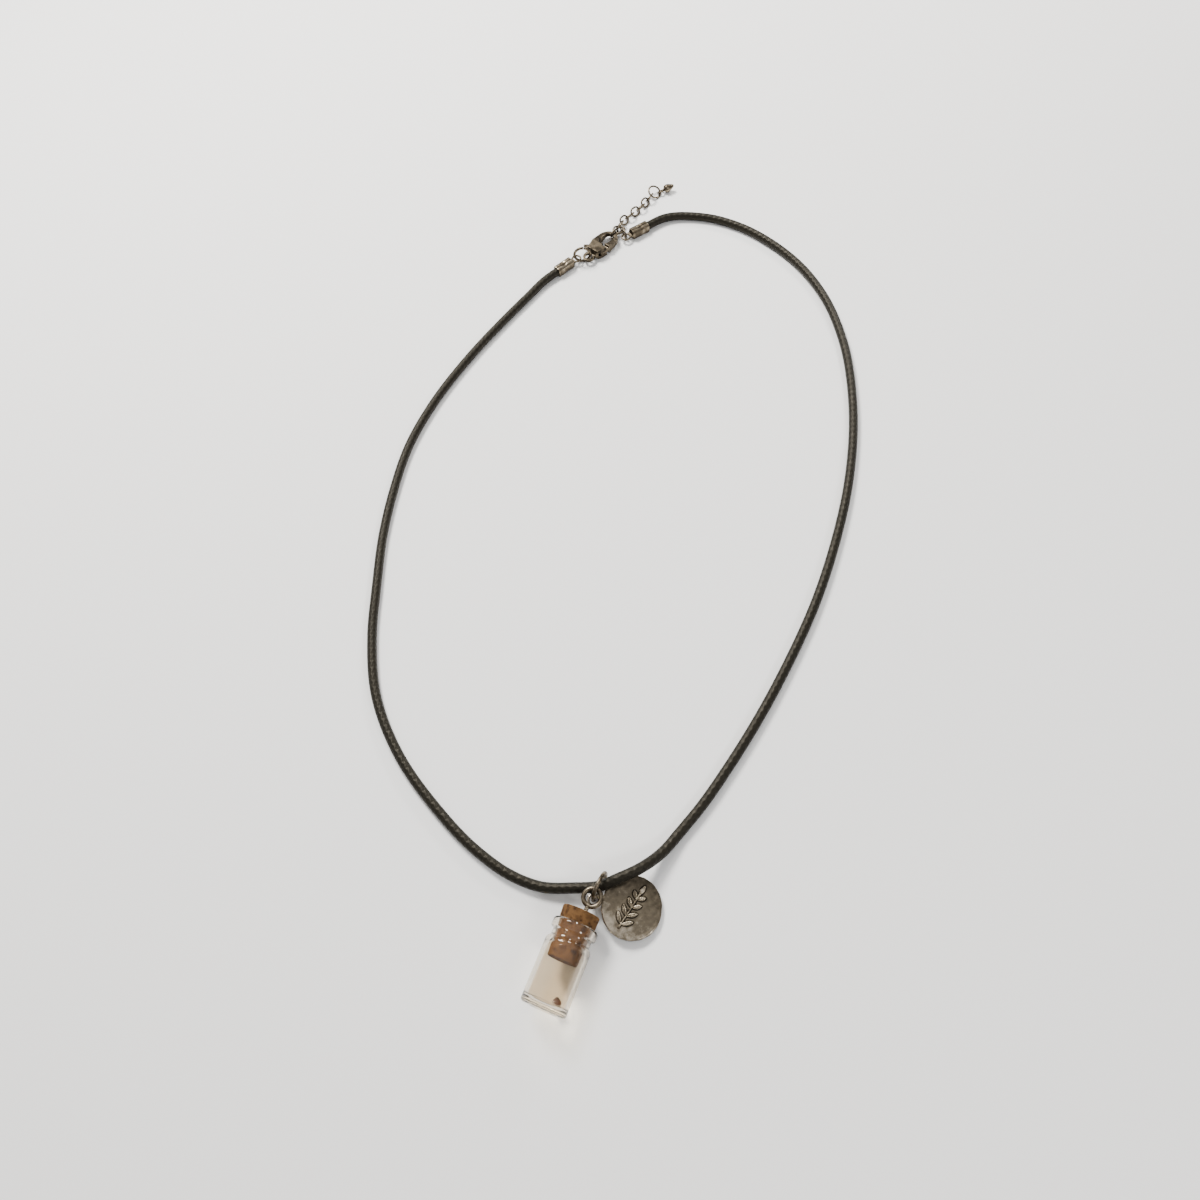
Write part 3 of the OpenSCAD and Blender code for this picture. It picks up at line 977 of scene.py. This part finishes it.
@dataclass
class Cord(Piece):
    """The waxed cord, one length from the left cord end round the pendant to the right one."""

    diameter: float = 2.4
    length: float = 495.0
    grip: float = 5.5
    end_height: float = 1.45
    left_mouth: tuple = (-80.5, 191.6)
    left_turn: float = 62.0
    right_mouth: tuple = (-61.2, 217.55)
    right_turn: float = 233.5
    rest: float = 1.2
    step: float = 0.6
    sides: int = 24

    def route(self) -> np.ndarray:
        """Gives the points that the cord runs through, as the solid's own route has them.

        Returns:
            Array of points in table millimetres.
        """
        left = np.array([*self.left_mouth, 0.0])
        right = np.array([*self.right_mouth, 0.0])
        out, back = heading(self.left_turn), heading(self.right_turn)
        middle = (
            (-85.2, 179.0), (-88.0, 169.0), (-92.0, 151.5), (-94.2, 134.0), (-94.0, 119.5),
            (-91.2, 105.0), (-87.1, 91.0), (-81.6, 77.3), (-75.5, 63.5), (-67.0, 50.0),
            (-55.2, 39.0), (-41.4, 30.8), (-26.4, 24.6), (-18.5, 22.9), (-11.0, 23.0, 1.3),
            (-4.2, 25.2, 2.1), (1.3, 27.5, 3.4), (4.6, 30.2, 4.6), (8.0, 33.8, 4.35),
            (10.9, 38.9, 2.3), (13.0, 45.0), (15.2, 51.5), (18.2, 63.4), (20.6, 75.4),
            (22.9, 92.0), (24.2, 109.0), (24.0, 125.5), (22.0, 146.0), (16.1, 170.7),
            (6.5, 193.0), (-2.0, 205.4), (-11.6, 214.6), (-22.4, 221.2), (-34.1, 225.4),
            (-45.9, 226.2),
        )
        return np.array(
            [
                left + self.grip * out + self.end_height * UP,
                left + self.end_height * UP,
                left - 3.5 * out + 1.4 * UP,
                *[(*point, self.rest)[:3] for point in middle],
                right - 5.5 * back + 1.3 * UP,
                right + self.end_height * UP,
                right + self.grip * back + self.end_height * UP,
            ]
        )

    def line(self) -> np.ndarray:
        """Works out the smooth centre line.

        Between two route points it is the cubic that leaves and arrives along the tangents there.
        A tangent is the mean of the two neighbouring slopes, each weighted by the other's length.
        The middle never comes nearer to the surface than the radius.

        Returns:
            Array of points in table millimetres.
        """
        points = self.route()
        span = np.linalg.norm(np.diff(points, axis=0), axis=1, keepdims=True)
        slope = np.diff(points, axis=0) / span
        inner = (slope[1:] * span[:-1] + slope[:-1] * span[1:]) / (span[1:] + span[:-1])
        tangent = np.vstack([slope[:1], inner, slope[-1:]])
        runs = []
        for i, reach in enumerate(span[:, 0]):
            count = max(2, int(round(reach / self.step)))
            t = np.linspace(0, 1, count, endpoint=False)[:, None]
            leaving, arriving = reach * tangent[i], reach * tangent[i + 1]
            runs.append(cubic(t, points[i], leaving, points[i + 1], arriving))
        line = np.vstack([*runs, points[-1:]])
        line[:, 2] = np.maximum(line[:, 2], self.diameter / 2)
        return line

    def build(self, finishes: Finishes) -> None:
        """Args:
            finishes: The materials.
        """
        line = on_table(self.line())
        run = np.concatenate([[0], np.cumsum(np.linalg.norm(np.diff(line, axis=0), axis=1))])
        grid = tube(line, self.diameter / 2 * MM, self.sides, UP)
        piece = skinned("cord_waxed", [Patch(grid, along=run)])
        dress(piece, finishes["cord"], Body.NECKLACE, "cord")


# Rings, links and eyes


def wire_fit(node: str) -> tuple[np.ndarray, np.ndarray, np.ndarray]:
    """Reads the plane, middle and half sizes of a ring or link from its solid.

    The three axes are those of greatest, middle and least spread of the solid's points, and the
    half sizes are half of its reach along each.

    Args:
        node: The solid's name.

    Returns:
        The middle, the three axes as rows with the plane's normal last, and the half sizes.
    """
    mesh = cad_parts[node].data
    points = np.empty(len(mesh.vertices) * 3, np.float32)
    mesh.vertices.foreach_get("co", points)
    points = np.unique(points.reshape(-1, 3).round(7), axis=0).astype(float)
    centred = points - points.mean(0)
    axes = np.linalg.svd(centred, full_matrices=False)[2]
    axes[2] = np.cross(axes[0], axes[1])
    reach = centred @ axes.T
    middle = points.mean(0) + (reach.max(0) + reach.min(0)) / 2 @ axes
    return middle, axes, (reach.max(0) - reach.min(0)) / 2


@dataclass
class ChainLink(Piece):
    """An oval link of round wire, bent closed."""

    node: str
    wire: float = 0.55
    rows: int = 72
    sides: int = 16

    def build(self, finishes: Finishes) -> None:
        """Makes the link.

        The centre line is a long circle: two half circles, with straight runs between them. It is
        darker on the inside of each half circle, most at its middle.

        Args:
            finishes: The materials.
        """
        middle, axes, half = wire_fit(self.node)
        wire = self.wire * MM
        bow = half[1] - wire / 2
        straight = half[0] - half[1]
        total = TURN * bow + 4 * straight
        s = np.arange(self.rows) / self.rows * total
        first = s - 2 * straight
        second = first - np.pi * bow
        runs = [s < 2 * straight, first < np.pi * bow, second < 2 * straight]
        angle = np.select(
            runs, [0 * s, first / bow, np.pi + 0 * s], np.pi + (second - 2 * straight) / bow
        )
        forward = np.select(runs, [s - straight, straight + 0 * s, straight - second], -straight)
        x = forward + bow * np.sin(angle)
        y = -bow * np.cos(angle)
        line = middle + x[:, None] * axes[0] + y[:, None] * axes[1]
        grid = tube(line, wire / 2, self.sides, axes[2], closed=True)
        crook = np.clip((np.abs(x) - straight) / bow, 0, 1)[:, None]
        inner = 0.5 + 0.5 * np.cos(around(self.sides))
        patch = Patch(grid, closed=True, tone=0.35 * crook * inner)
        piece = skinned(self.node + "_wire", [patch])
        dress(piece, finishes["silver"], Body.NECKLACE, self.node)


@dataclass
class JumpRing(Piece):
    """A round ring of wire, with the thin cut that it is opened at."""

    node: str
    wire: float
    cut_towards: tuple
    cut: float = 4.0
    rows: int = 120
    sides: int = 20

    def build(self, finishes: Finishes) -> None:
        """Makes the ring.

        The centre line is a circle without the cut. The last two rows at each end draw in, which
        rounds the cut's edges.

        Args:
            finishes: The materials.
        """
        middle, axes, half = wire_fit(self.node)
        wire = self.wire * MM
        radius = (half[0] + half[1]) / 2 - wire / 2
        normal = axes[2]
        way = np.array(self.cut_towards, float)
        way = unit(way - (way @ normal) * normal)
        beside = np.cross(normal, way)
        gap = np.radians(self.cut / 2)
        angle = np.linspace(gap, TURN - gap, self.rows)[:, None]
        line = middle + radius * (np.cos(angle) * way + np.sin(angle) * beside)
        swell = np.ones(self.rows)
        swell[[0, -1]], swell[[1, -2]] = 0.86, 0.97
        grid = tube(line, wire / 2 * swell, self.sides, normal)
        piece = skinned(self.node + "_wire", [Patch(grid)])
        dress(piece, finishes["silver"], Body.NECKLACE, self.node)


def hoop(place: Place, radius: float, wire: float, rows: int = 64, sides: int = 16) -> Patch:
    """Makes a whole ring of round wire in the local XY plane, sized in millimetres."""
    line = place.put(spun(radius, around(rows), 0.0))
    return Patch(tube(line, wire / 2 * MM, sides, place.matrix[:, 2], closed=True), closed=True)


@dataclass
class ChainDrop(Piece):
    """The small drop at the end of the extender chain, with its eye."""

    node: str = "chain_drop"
    turn: float = 38.0
    pitch: float = -14.0
    eye_roll: float = -30.0
    eye_radius: float = 0.95
    eye_wire: float = 0.5
    profile: tuple = (
        (0.05, 0.8), (0.4, 0.8), (0.5, 1.2), (0.95, 1.4), (1.18, 1.8), (1.25, 2.2), (1.15, 2.7),
        (0.85, 3.4), (0.5, 4.1), (0.35, 4.35), (0.05, 4.5),
    )

    def build(self, finishes: Finishes) -> None:
        """Makes the drop and moves it to the middle of its solid's box.

        Args:
            finishes: The materials.
        """
        matrix = turned("Z", self.turn) @ turned("Y", self.pitch)
        eye = Place(np.zeros(3), matrix @ turned("X", self.eye_roll))
        body = Place(np.zeros(3), matrix @ turned("Y", 90))
        curve = smoothed(np.array(self.profile), 5)
        patches = [hoop(eye, self.eye_radius, self.eye_wire), lathe(curve, 40, body)]
        points = np.vstack([patch.corners() for patch in patches])
        shift = np.sum(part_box(self.node), axis=0) / 2 - (points.max(0) + points.min(0)) / 2
        for patch in patches:
            patch.grid = patch.grid + shift
            if patch.poles is not None:
                patch.poles = tuple(pole + shift for pole in patch.poles)
        piece = skinned("chain_drop_cast", patches)
        dress(piece, finishes["silver"], Body.NECKLACE, self.node)


def smoothed(points: np.ndarray, between: int) -> np.ndarray:
    """Runs a smooth curve through a profile's points.

    Each stretch is the cubic whose slopes at its ends are half the step between the neighbours.

    Args:
        points: The profile's points.
        between: Number of points for each stretch.

    Returns:
        The curve's points.
    """
    slope = np.gradient(points, axis=0)
    t = np.linspace(0, 1, between, endpoint=False)[None, :, None]
    a, b = points[:-1, None], points[1:, None]
    curve = cubic(t, a, slope[:-1, None], b, slope[1:, None])
    return np.vstack([curve.reshape(-1, points.shape[1]), points[-1:]])


# Cord ends and clasp


@dataclass
class CordEnd(Piece):
    """A folded metal cord end: a sleeve pressed round the cord, with an eye."""

    node: str
    mouth: tuple
    turn: float
    height: float = 1.45
    half: float = 1.45
    grip: float = 5.52
    bore: float = 1.22
    shoulder: float = 5.6
    length: float = 6.2
    eye_at: float = 7.7
    eye_radius: float = 1.26
    eye_wire: float = 0.58
    sides: int = 64
    tip: float = 6.7
    eye_half: float = 0.35
    round_lip: float = 0.16
    seam_deep: float = 0.20
    seam_wide: float = 0.09
    mark_at: float = 2.8
    mark_deep: float = 0.26
    mark_wide: float = 0.42

    def sleeve(self, place: Place) -> Patch:
        """Works out the sleeve.

        The cross-section is a rounded square: half its width divided by the sum of the fourth
        powers of cosine and sine of the angle, to the power of a quarter. It tapers sideways from
        the shoulder to the eye. The fold's seam is a narrow groove along one side, and the mark of
        the pliers is a round hollow on top. The rows go from the inner end of the bore to its
        mouth, and then along the outside to the eye.

        Args:
            place: The sleeve's own frame, with the mouth at its origin and the eye along +X.

        Returns:
            The patch.
        """
        angle = around(self.sides)
        square = (np.cos(angle) ** 4 + np.sin(angle) ** 4) ** -0.25
        inside = np.linspace(self.grip, 0.1, 12)[:, None]
        edge, body = [0.0, 0.05, self.round_lip], np.linspace(0.4, self.shoulder, 40)
        neck = np.linspace(self.shoulder + 0.06, self.tip, 18)
        outside = np.concatenate([edge, body, neck])[:, None]
        lip = self.half - self.round_lip * (1 - np.clip(outside / self.round_lip, 0, 1)) ** 2
        ease = eased((outside - self.shoulder) / (self.length - self.shoulder))
        seam = self.seam_deep * np.exp(-(((angle - TURN / 4) / self.seam_wide) ** 2))
        seam = seam * (outside < self.shoulder + 0.3)
        shrink = 1 - seam / self.half
        y = (lip - self.eye_half * ease) * square * np.cos(angle) * shrink
        z = (lip - (self.half - self.eye_half) * ease) * square * np.sin(angle) * shrink
        mark = np.exp(-(((outside - self.mark_at) ** 2 + y**2) / self.mark_wide)) * self.mark_deep
        z = np.where(z > 0.5, z - mark, z)
        outer = np.stack([outside + 0 * y, y, z], -1)
        # The rows run along local X here, so the bore's circle is in Y and Z
        inner = np.roll(spun(self.bore, angle, inside), 1, axis=-1)
        grid = place.put(np.concatenate([inner, outer]))
        poles = place.put(np.array([[self.grip, 0, 0], [self.tip, 0, 0]]))
        dark = np.concatenate([np.full((len(inside), self.sides), 0.8), seam * 3 + mark * 1.2])
        return Patch(grid, poles=tuple(poles), tone=np.clip(dark, 0, 0.9))

    def build(self, finishes: Finishes) -> None:
        """Makes the cord end where its solid is.

        Args:
            finishes: The materials.
        """
        place = Place(on_table([*self.mouth, self.height]), turned("Z", self.turn))
        eye = Place(place.put(np.array([self.eye_at, 0.0, 0.0])), place.matrix)
        ring = hoop(eye, self.eye_radius, self.eye_wire)
        piece = skinned(self.node + "_folded", [self.sleeve(place), ring])
        dress(piece, finishes["silver"], Body.NECKLACE, self.node)


@dataclass
class Clasp(Piece):
    """The lobster clasp: a cast body and the lever that swings on its pin."""

    voxel: float = 0.09
    passes: int = 5

    def build(self, finishes: Finishes) -> None:
        """Makes the body and the lever from their solids, worn round.

        Args:
            finishes: The materials.
        """
        for node, body in (("clasp_body", Body.NECKLACE), ("clasp_lever", Body.LEVER)):
            piece = softened(node, node + "_cast", self.voxel, self.passes)
            dress(piece, finishes["clasp"], body, node)


# The bottle, its cork and the seed


@dataclass
class Bottle(Piece):
    """The glass bottle on its side, its cork, screw eye and seed."""

    diameter: float = 10.0
    height: float = 18.0
    wall: float = 0.9
    base_y: float = 0.2
    lip: float = 9.9
    lip_height: float = 2.3
    neck: float = 8.5
    cork_top: float = 8.3
    cork_neck: float = 7.2
    cork_end: float = 6.6
    cork_out: float = 2.8
    cork_in: float = 7.9
    bore_gap: float = 0.05
    eye_place: tuple = (0.95, 24.4, 5.0)
    eye_lean: float = 6.0
    eye_mean: float = 1.9
    eye_wire: float = 1.0
    shank: float = 5.7
    shank_radius: float = 0.5
    thread: float = 0.06
    thread_turns: float = 1.6
    seed_radius: float = 1.1
    seed_turn: float = 15.0
    scar_radius: float = 0.58
    scar_at: float = 0.77
    columns: int = 96
    cork_wobble: float = 0.0012

    def frame(self) -> Place:
        """Gives the bottle's frame: its local Z is the bottle's axis, from the base to the cork."""
        return Place(on_table([0.0, 0.0, self.diameter / 2]), turned("X", -90))

    def glass(self) -> bpy.types.Object:
        """Makes the glass as one turned wall, outside and inside.

        The profile goes up the outside from the middle of the base, over the lip, down the inside
        and ends at the middle of the floor.

        Returns:
            The glass.
        """
        r, top, low = self.diameter / 2, self.base_y + self.height, self.base_y
        bore = self.cork_neck / 2 + self.bore_gap
        inner = r - self.wall
        profile = np.vstack(
            [
                [[0.3, low + 0.25], [2.4, low + 0.25], [2.8, low + 0.16], [3.2, low]],
                bend((r - 0.8, low + 0.8), 0.8, -90, 0, 12),
                bend((r - 1.4, top - 5.0), 1.4, 0, 60, 10),
                [[self.neck / 2, top - 3.4], [self.neck / 2, top - self.lip_height]],
                bend((self.lip / 2 - 0.55, top - self.lip_height + 0.55), 0.55, -80, 0, 9),
                bend((self.lip / 2 - 0.7, top - 0.7), 0.7, 0, 90, 11),
                [[bore + 0.42, top], [bore + 0.4, top - 0.02], [bore, top - 1.8]],
                [[bore, top - 4.0], [bore + 0.04, top - 4.3], [bore + 0.14, top - 4.6]],
                [[inner - 0.14, top - 5.0], [inner - 0.03, top - 5.3], [inner, top - 5.5]],
                bend((inner - 1.2, low + 2.2), 1.2, 0, -90, 12),
                [[0.3, low + 1.0]],
            ]
        )
        return skinned("bottle_glass", [lathe(refined(profile, 0.8), self.columns, self.frame())])

    def cork(self) -> bpy.types.Object:
        """Makes the cork, turned and slightly out of true.

        Returns:
            The cork.
        """
        top = self.base_y + self.height
        end, crown = top - self.cork_in, top + self.cork_out
        neck = self.cork_neck / 2
        profile = np.vstack(
            [
                [[0.2, end]],
                bend((self.cork_end / 2 - 0.2, end + 0.2), 0.2, -90, 0, 5),
                [[neck - 0.03, top - 4.0], [neck - 0.03, top - 1.8]],
                [[neck + 0.32, top - 0.1], [neck + 0.38, top + 0.2]],
                bend((self.cork_top / 2 - 0.35, crown - 0.30), 0.3, 0, 90, 7),
                [[0.7, crown]],
            ]
        )
        patch = lathe(refined(profile, 0.3), self.columns, self.frame(), self.cork_wobble)
        return skinned("cork_stopper", [patch])

    def screw_eye(self) -> bpy.types.Object:
        """Makes the screw eye: a ring with its shank, which is threaded inside the cork.

        The thread is a ripple of the shank's radius: a sine of the angle minus the height times
        the number of turns for each millimetre.

        Returns:
            The screw eye.
        """
        place = Place(on_table(self.eye_place), turned("Z", -self.eye_lean))
        down = Place(place.origin, place.matrix @ turned("X", 90))
        start, foot = self.eye_mean + 1.0, self.eye_mean + self.shank
        profile = [[0.48, self.eye_mean - 0.3], [self.shank_radius, foot], [0.1, foot + 1.3]]
        profile = refined(np.array(profile), 0.08)
        angle, height = around(20), profile[:, 1:]
        thread = self.thread * np.sin(angle - self.thread_turns * TURN * height) - self.thread
        radius = profile[:, :1] + thread * (height > start) * (height < foot)
        shank = Patch(down.put(spun(radius, angle, height)))
        return skinned("screw_eye_wire", [hoop(place, self.eye_mean, self.eye_wire, 96, 20), shank])

    def seed(self) -> bpy.types.Object:
        """Makes the seed: a round body that swells a little towards its scar.

        Its radius in each direction is the longer of the body's ball and the scar's smaller ball,
        rounded into each other, and the scar is darker.

        Returns:
            The seed.
        """
        low, high = (np.array(corner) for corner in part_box("seed"))
        polar, angle = np.linspace(0.04, np.pi - 0.04, 40)[:, None], around(56)
        r, away = self.seed_radius, -np.cos(polar)
        root = np.sqrt(np.maximum(self.scar_radius**2 - self.scar_at**2 * (1 - away**2), 0))
        scar = np.where(away > 0.3, self.scar_at * away + root, 0)
        reach = r + 0.5 * (scar - r + np.sqrt((scar - r) ** 2 + 0.02)) - 0.02
        reach = reach * (1 + 0.012 * np.sin(4 * angle) * np.sin(3 * polar))
        grid = spun(reach * np.sin(polar), angle, -reach * np.cos(polar))
        middle = np.array([(low[0] + high[0]) / 2, low[1] + r * MM, (low[2] + high[2]) / 2])
        place = Place(middle, turned("Z", self.seed_turn) @ turned("X", -90))
        tone = np.clip((away - 0.55) * 2.2, 0, 1) + 0 * angle
        return skinned("seed_dry", [Patch(place.put(grid), tone=tone)])

    def build(self, finishes: Finishes) -> None:
        """Makes the cork, the screw eye, the seed and the glass.

        Args:
            finishes: The materials.
        """
        dress(self.cork(), finishes["cork"], Body.NECKLACE, "cork")
        dress(self.screw_eye(), finishes["silver"], Body.NECKLACE, "screw_eye")
        dress(self.seed(), finishes["seed"], Body.BOTTLE, "seed")
        dress(self.glass(), finishes["glass"], Body.BOTTLE, "bottle")


# The charm


def along_and_across(x: np.ndarray, y: np.ndarray, turn: float) -> tuple[np.ndarray, np.ndarray]:
    """Measures places in the plane along a direction in degrees, and to its left."""
    c, s = np.cos(np.radians(turn)), np.sin(np.radians(turn))
    return x * c + y * s, -x * s + y * c


@dataclass
class Charm(Piece):
    """The round charm: a slightly oval plate with a raised leaf sprig and a cast eye."""

    width: float = 12.9
    long: float = 13.6
    thick: float = 1.3
    relief: float = 0.35
    eye_place: tuple = (1.0, 24.45, 2.5)
    turn: float = 191.0
    pitch: float = 7.2
    reach: float = 8.2
    sprig_turn: float = -113.0
    edge: float = 0.32
    columns: int = 300
    top_rows: int = 130
    eye_radius: float = 1.2
    eye_wire: float = 0.62
    neck_radius: float = 0.42
    border_in: float = 0.45
    border_wide: float = 0.30
    border_high: float = 0.03
    marks_high: float = 0.02
    wave: float = 0.00625
    # The next two are the directions, in degrees, of the top's painted shade and of its painted glint
    shade_turn: float = 231.0
    painted_glint_turn: float = 52.0

    def place(self) -> Place:
        """Gives the charm's frame: its eye is at the origin and its plate lies along -X."""
        matrix = turned("Z", self.turn) @ turned("Y", -self.pitch)
        return Place(on_table(self.eye_place), matrix)

    def rim(self, angle: np.ndarray) -> np.ndarray:
        """Gives the plate's outline: two half circles, set apart by the oval's extra length.

        Args:
            angle: Angles about the plate's middle.

        Returns:
            The distance from the middle to the rim.
        """
        r, b = self.width / 2, (self.long - self.width) / 2
        round_end = b * np.abs(np.sin(angle)) + np.sqrt(r**2 - (b * np.cos(angle)) ** 2)
        side = r / np.maximum(np.abs(np.cos(angle)), 0.2)
        return np.where(side * np.abs(np.sin(angle)) <= b, side, round_end)

    @staticmethod
    def leaf(
        x: np.ndarray, y: np.ndarray, foot: tuple, turn: float, long: float, wide: float = 1.15
    ) -> np.ndarray:
        """Gives the height of one leaf, from nought to one.

        A leaf is where two large circles overlap. Its height rises smoothly from the edge to a
        low dome, less a narrow groove along its middle and fine side veins.

        Args:
            x: Place along the sprig.
            y: Place across it.
            foot: Where the leaf starts.
            turn: Its angle from the stem in degrees.
            long: Its length.
            wide: Its width.

        Returns:
            The height at each place.
        """
        u, v = along_and_across(x - foot[0], y - foot[1], turn)
        r = (long * long / 4 + wide * wide / 4) / wide
        off = r - wide / 2
        depth = r - np.hypot(u - long / 2, np.abs(v) + off)
        rise = eased(depth / 0.16)
        dome = 0.78 + 0.22 * np.clip(depth / (wide / 2), 0, 1)
        vein = 0.42 * np.exp(-((v / 0.075) ** 2)) + 0.08 * np.cos((u - np.abs(v)) * 14.0)
        return rise * (dome - vein * np.clip(depth / 0.3, 0, 1))

    def sprig(self, x: np.ndarray, y: np.ndarray) -> np.ndarray:
        """Gives the height of the whole sprig: the highest of its stem and nine leaves.

        Args:
            x: Place along the sprig.
            y: Place across it.

        Returns:
            The height at each place, from nought to one.
        """
        stem = np.clip((0.24 - np.abs(y)) / 0.14, 0, 1) * np.clip((x + 5.2) / 0.2, 0, 1)
        stem = stem * np.clip((3.4 - x) / 0.2, 0, 1) * 0.85
        height = np.maximum(stem, self.leaf(x, y, (2.9, 0.0), 0, 2.6))
        for k in range(4):
            for side in (-1, 1):
                foot = (-4.3 + 2.05 * k, side * 0.1)
                blade = self.leaf(x, y, foot, side * 44, 2.9 - 0.25 * k)
                height = np.maximum(height, blade)
        return height

    def plate(self) -> Patch:
        """Works out the plate.

        The rows go from the middle of the underside out to the rim, round it and back in to the
        middle of the top. The top is raised by the sprig, by a low rounded border inside the rim
        and by shallow hammer marks, which are a product of slow sines.

        Returns:
            The patch, darker wherever the top is low, with a painted shade on one side of the top and
            a painted glint at its rim on the other.
        """
        angle = around(self.columns)
        rim = self.rim(angle)
        half, e = self.thick / 2, self.edge
        flat, inner = half - e, rim - e
        out = np.linspace(0.03, 0.98, 24)[:, None]
        back = np.linspace(0.995, 0.008, self.top_rows)[:, None]
        corner = np.radians(np.linspace(0, 90, 9))[:, None]
        under = (out * inner, -half + 0 * out * rim)
        lower = (inner + e * np.sin(corner), -flat - e * np.cos(corner) + 0 * rim)
        upper = (inner + e * np.cos(corner), flat + e * np.sin(corner) + 0 * rim)
        over = (back * inner, half + 0 * back * rim)
        far, z = (np.concatenate(part) for part in zip(under, lower, upper, over))
        x, y = far * np.cos(angle), far * np.sin(angle)
        u, v = along_and_across(x, y, self.sprig_turn)
        top = np.clip((z - flat) / e, 0, 1)
        inset = rim - far
        border = np.exp(-(((inset - self.border_in) / self.border_wide) ** 2)) * self.border_high
        marks = np.sin(2.9 * x + 0.8 * np.sin(2.1 * y)) * np.sin(2.7 * y + 0.9 * np.sin(1.9 * x))
        sprig = self.sprig(u, v) * (inset > 0.2)
        rise = self.relief * sprig + (border + self.marks_high * marks) * (1 - sprig)
        wave = self.wave * np.sin(11 * angle) * np.sin(7 * angle + 1.0)
        wave = 1 - wave * (1 - np.clip(inset / 0.8, 0, 1))
        centre = np.array([-self.reach, 0.0, 0.0])
        grid = np.stack([x * wave, y * wave, z + top * rise], -1) + centre
        poles = np.array([[0, 0, -half], [0, 0, half + self.relief * 0.5]]) + centre
        ways = np.radians(np.arange(0, 360, 60))
        near = sum(self.sprig(u + 0.2 * np.cos(way), v + 0.2 * np.sin(way)) for way in ways)
        crevice = np.clip(near, 0, 1) * (sprig < 0.25)
        out = far / rim
        # Painted shade: the top's tone rises towards one side, more near the rim
        shade = np.clip(np.cos(angle - np.radians(self.shade_turn)), 0, 1) * out
        # Painted glint: near the rim on one side the top's tone drops, so the bright colour shows
        # there
        painted_glint = np.exp(-(((angle - np.radians(self.painted_glint_turn)) / 0.8) ** 2))
        painted_glint = painted_glint * np.clip(out, 0, 1) ** 3
        field = 0.32 - 0.07 * marks - 0.60 * painted_glint + 0.30 * shade + 0.60 * crevice
        tone = top * np.where(sprig > 0.45, 0.25, field) + (1 - top) * 0.34
        place = self.place()
        return Patch(place.put(grid), poles=tuple(place.put(poles)), tone=np.clip(tone, 0, 1))

    def build(self, finishes: Finishes) -> None:
        """Makes the plate, the eye and the neck between them as one casting.

        Args:
            finishes: The materials.
        """
        place = self.place()
        eye = hoop(place, self.eye_radius, self.eye_wire, 64, 20)
        line = place.put(np.linspace([-2.3, 0.0, 0.0], [-1.25, 0.0, 0.0], 8))
        neck = Patch(tube(line, self.neck_radius * MM, 20, UP))
        piece = skinned("charm_cast", [self.plate(), eye, neck])
        dress(piece, finishes["casting"], Body.NECKLACE, "charm")


def main() -> None:
    """Builds the studio, the cord and then every piece, and reports each one."""
    logging.basicConfig(level=logging.INFO, format="%(message)s")
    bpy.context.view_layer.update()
    Studio().build()
    finishes = make_finishes()
    pieces = [
        Cord(),
        CordEnd("cord_end_left", Cord.left_mouth, Cord.left_turn),
        CordEnd("cord_end_right", Cord.right_mouth, Cord.right_turn),
        Clasp(),
        *[ChainLink(f"chain_link_{number:02d}") for number in range(1, 12)],
        JumpRing("clasp_ring", 0.8, (0.2, 0.2, 1.0)),
        JumpRing("pendant_ring", 0.9, (0.05, 0.6, 1.0)),
        JumpRing("end_ring", 0.55, (-1.0, 0.2, 0.3)),
        ChainDrop(),
        Bottle(),
        Charm(),
    ]
    for piece in pieces:
        piece.build(finishes)


if __name__ == "__main__":
    main()
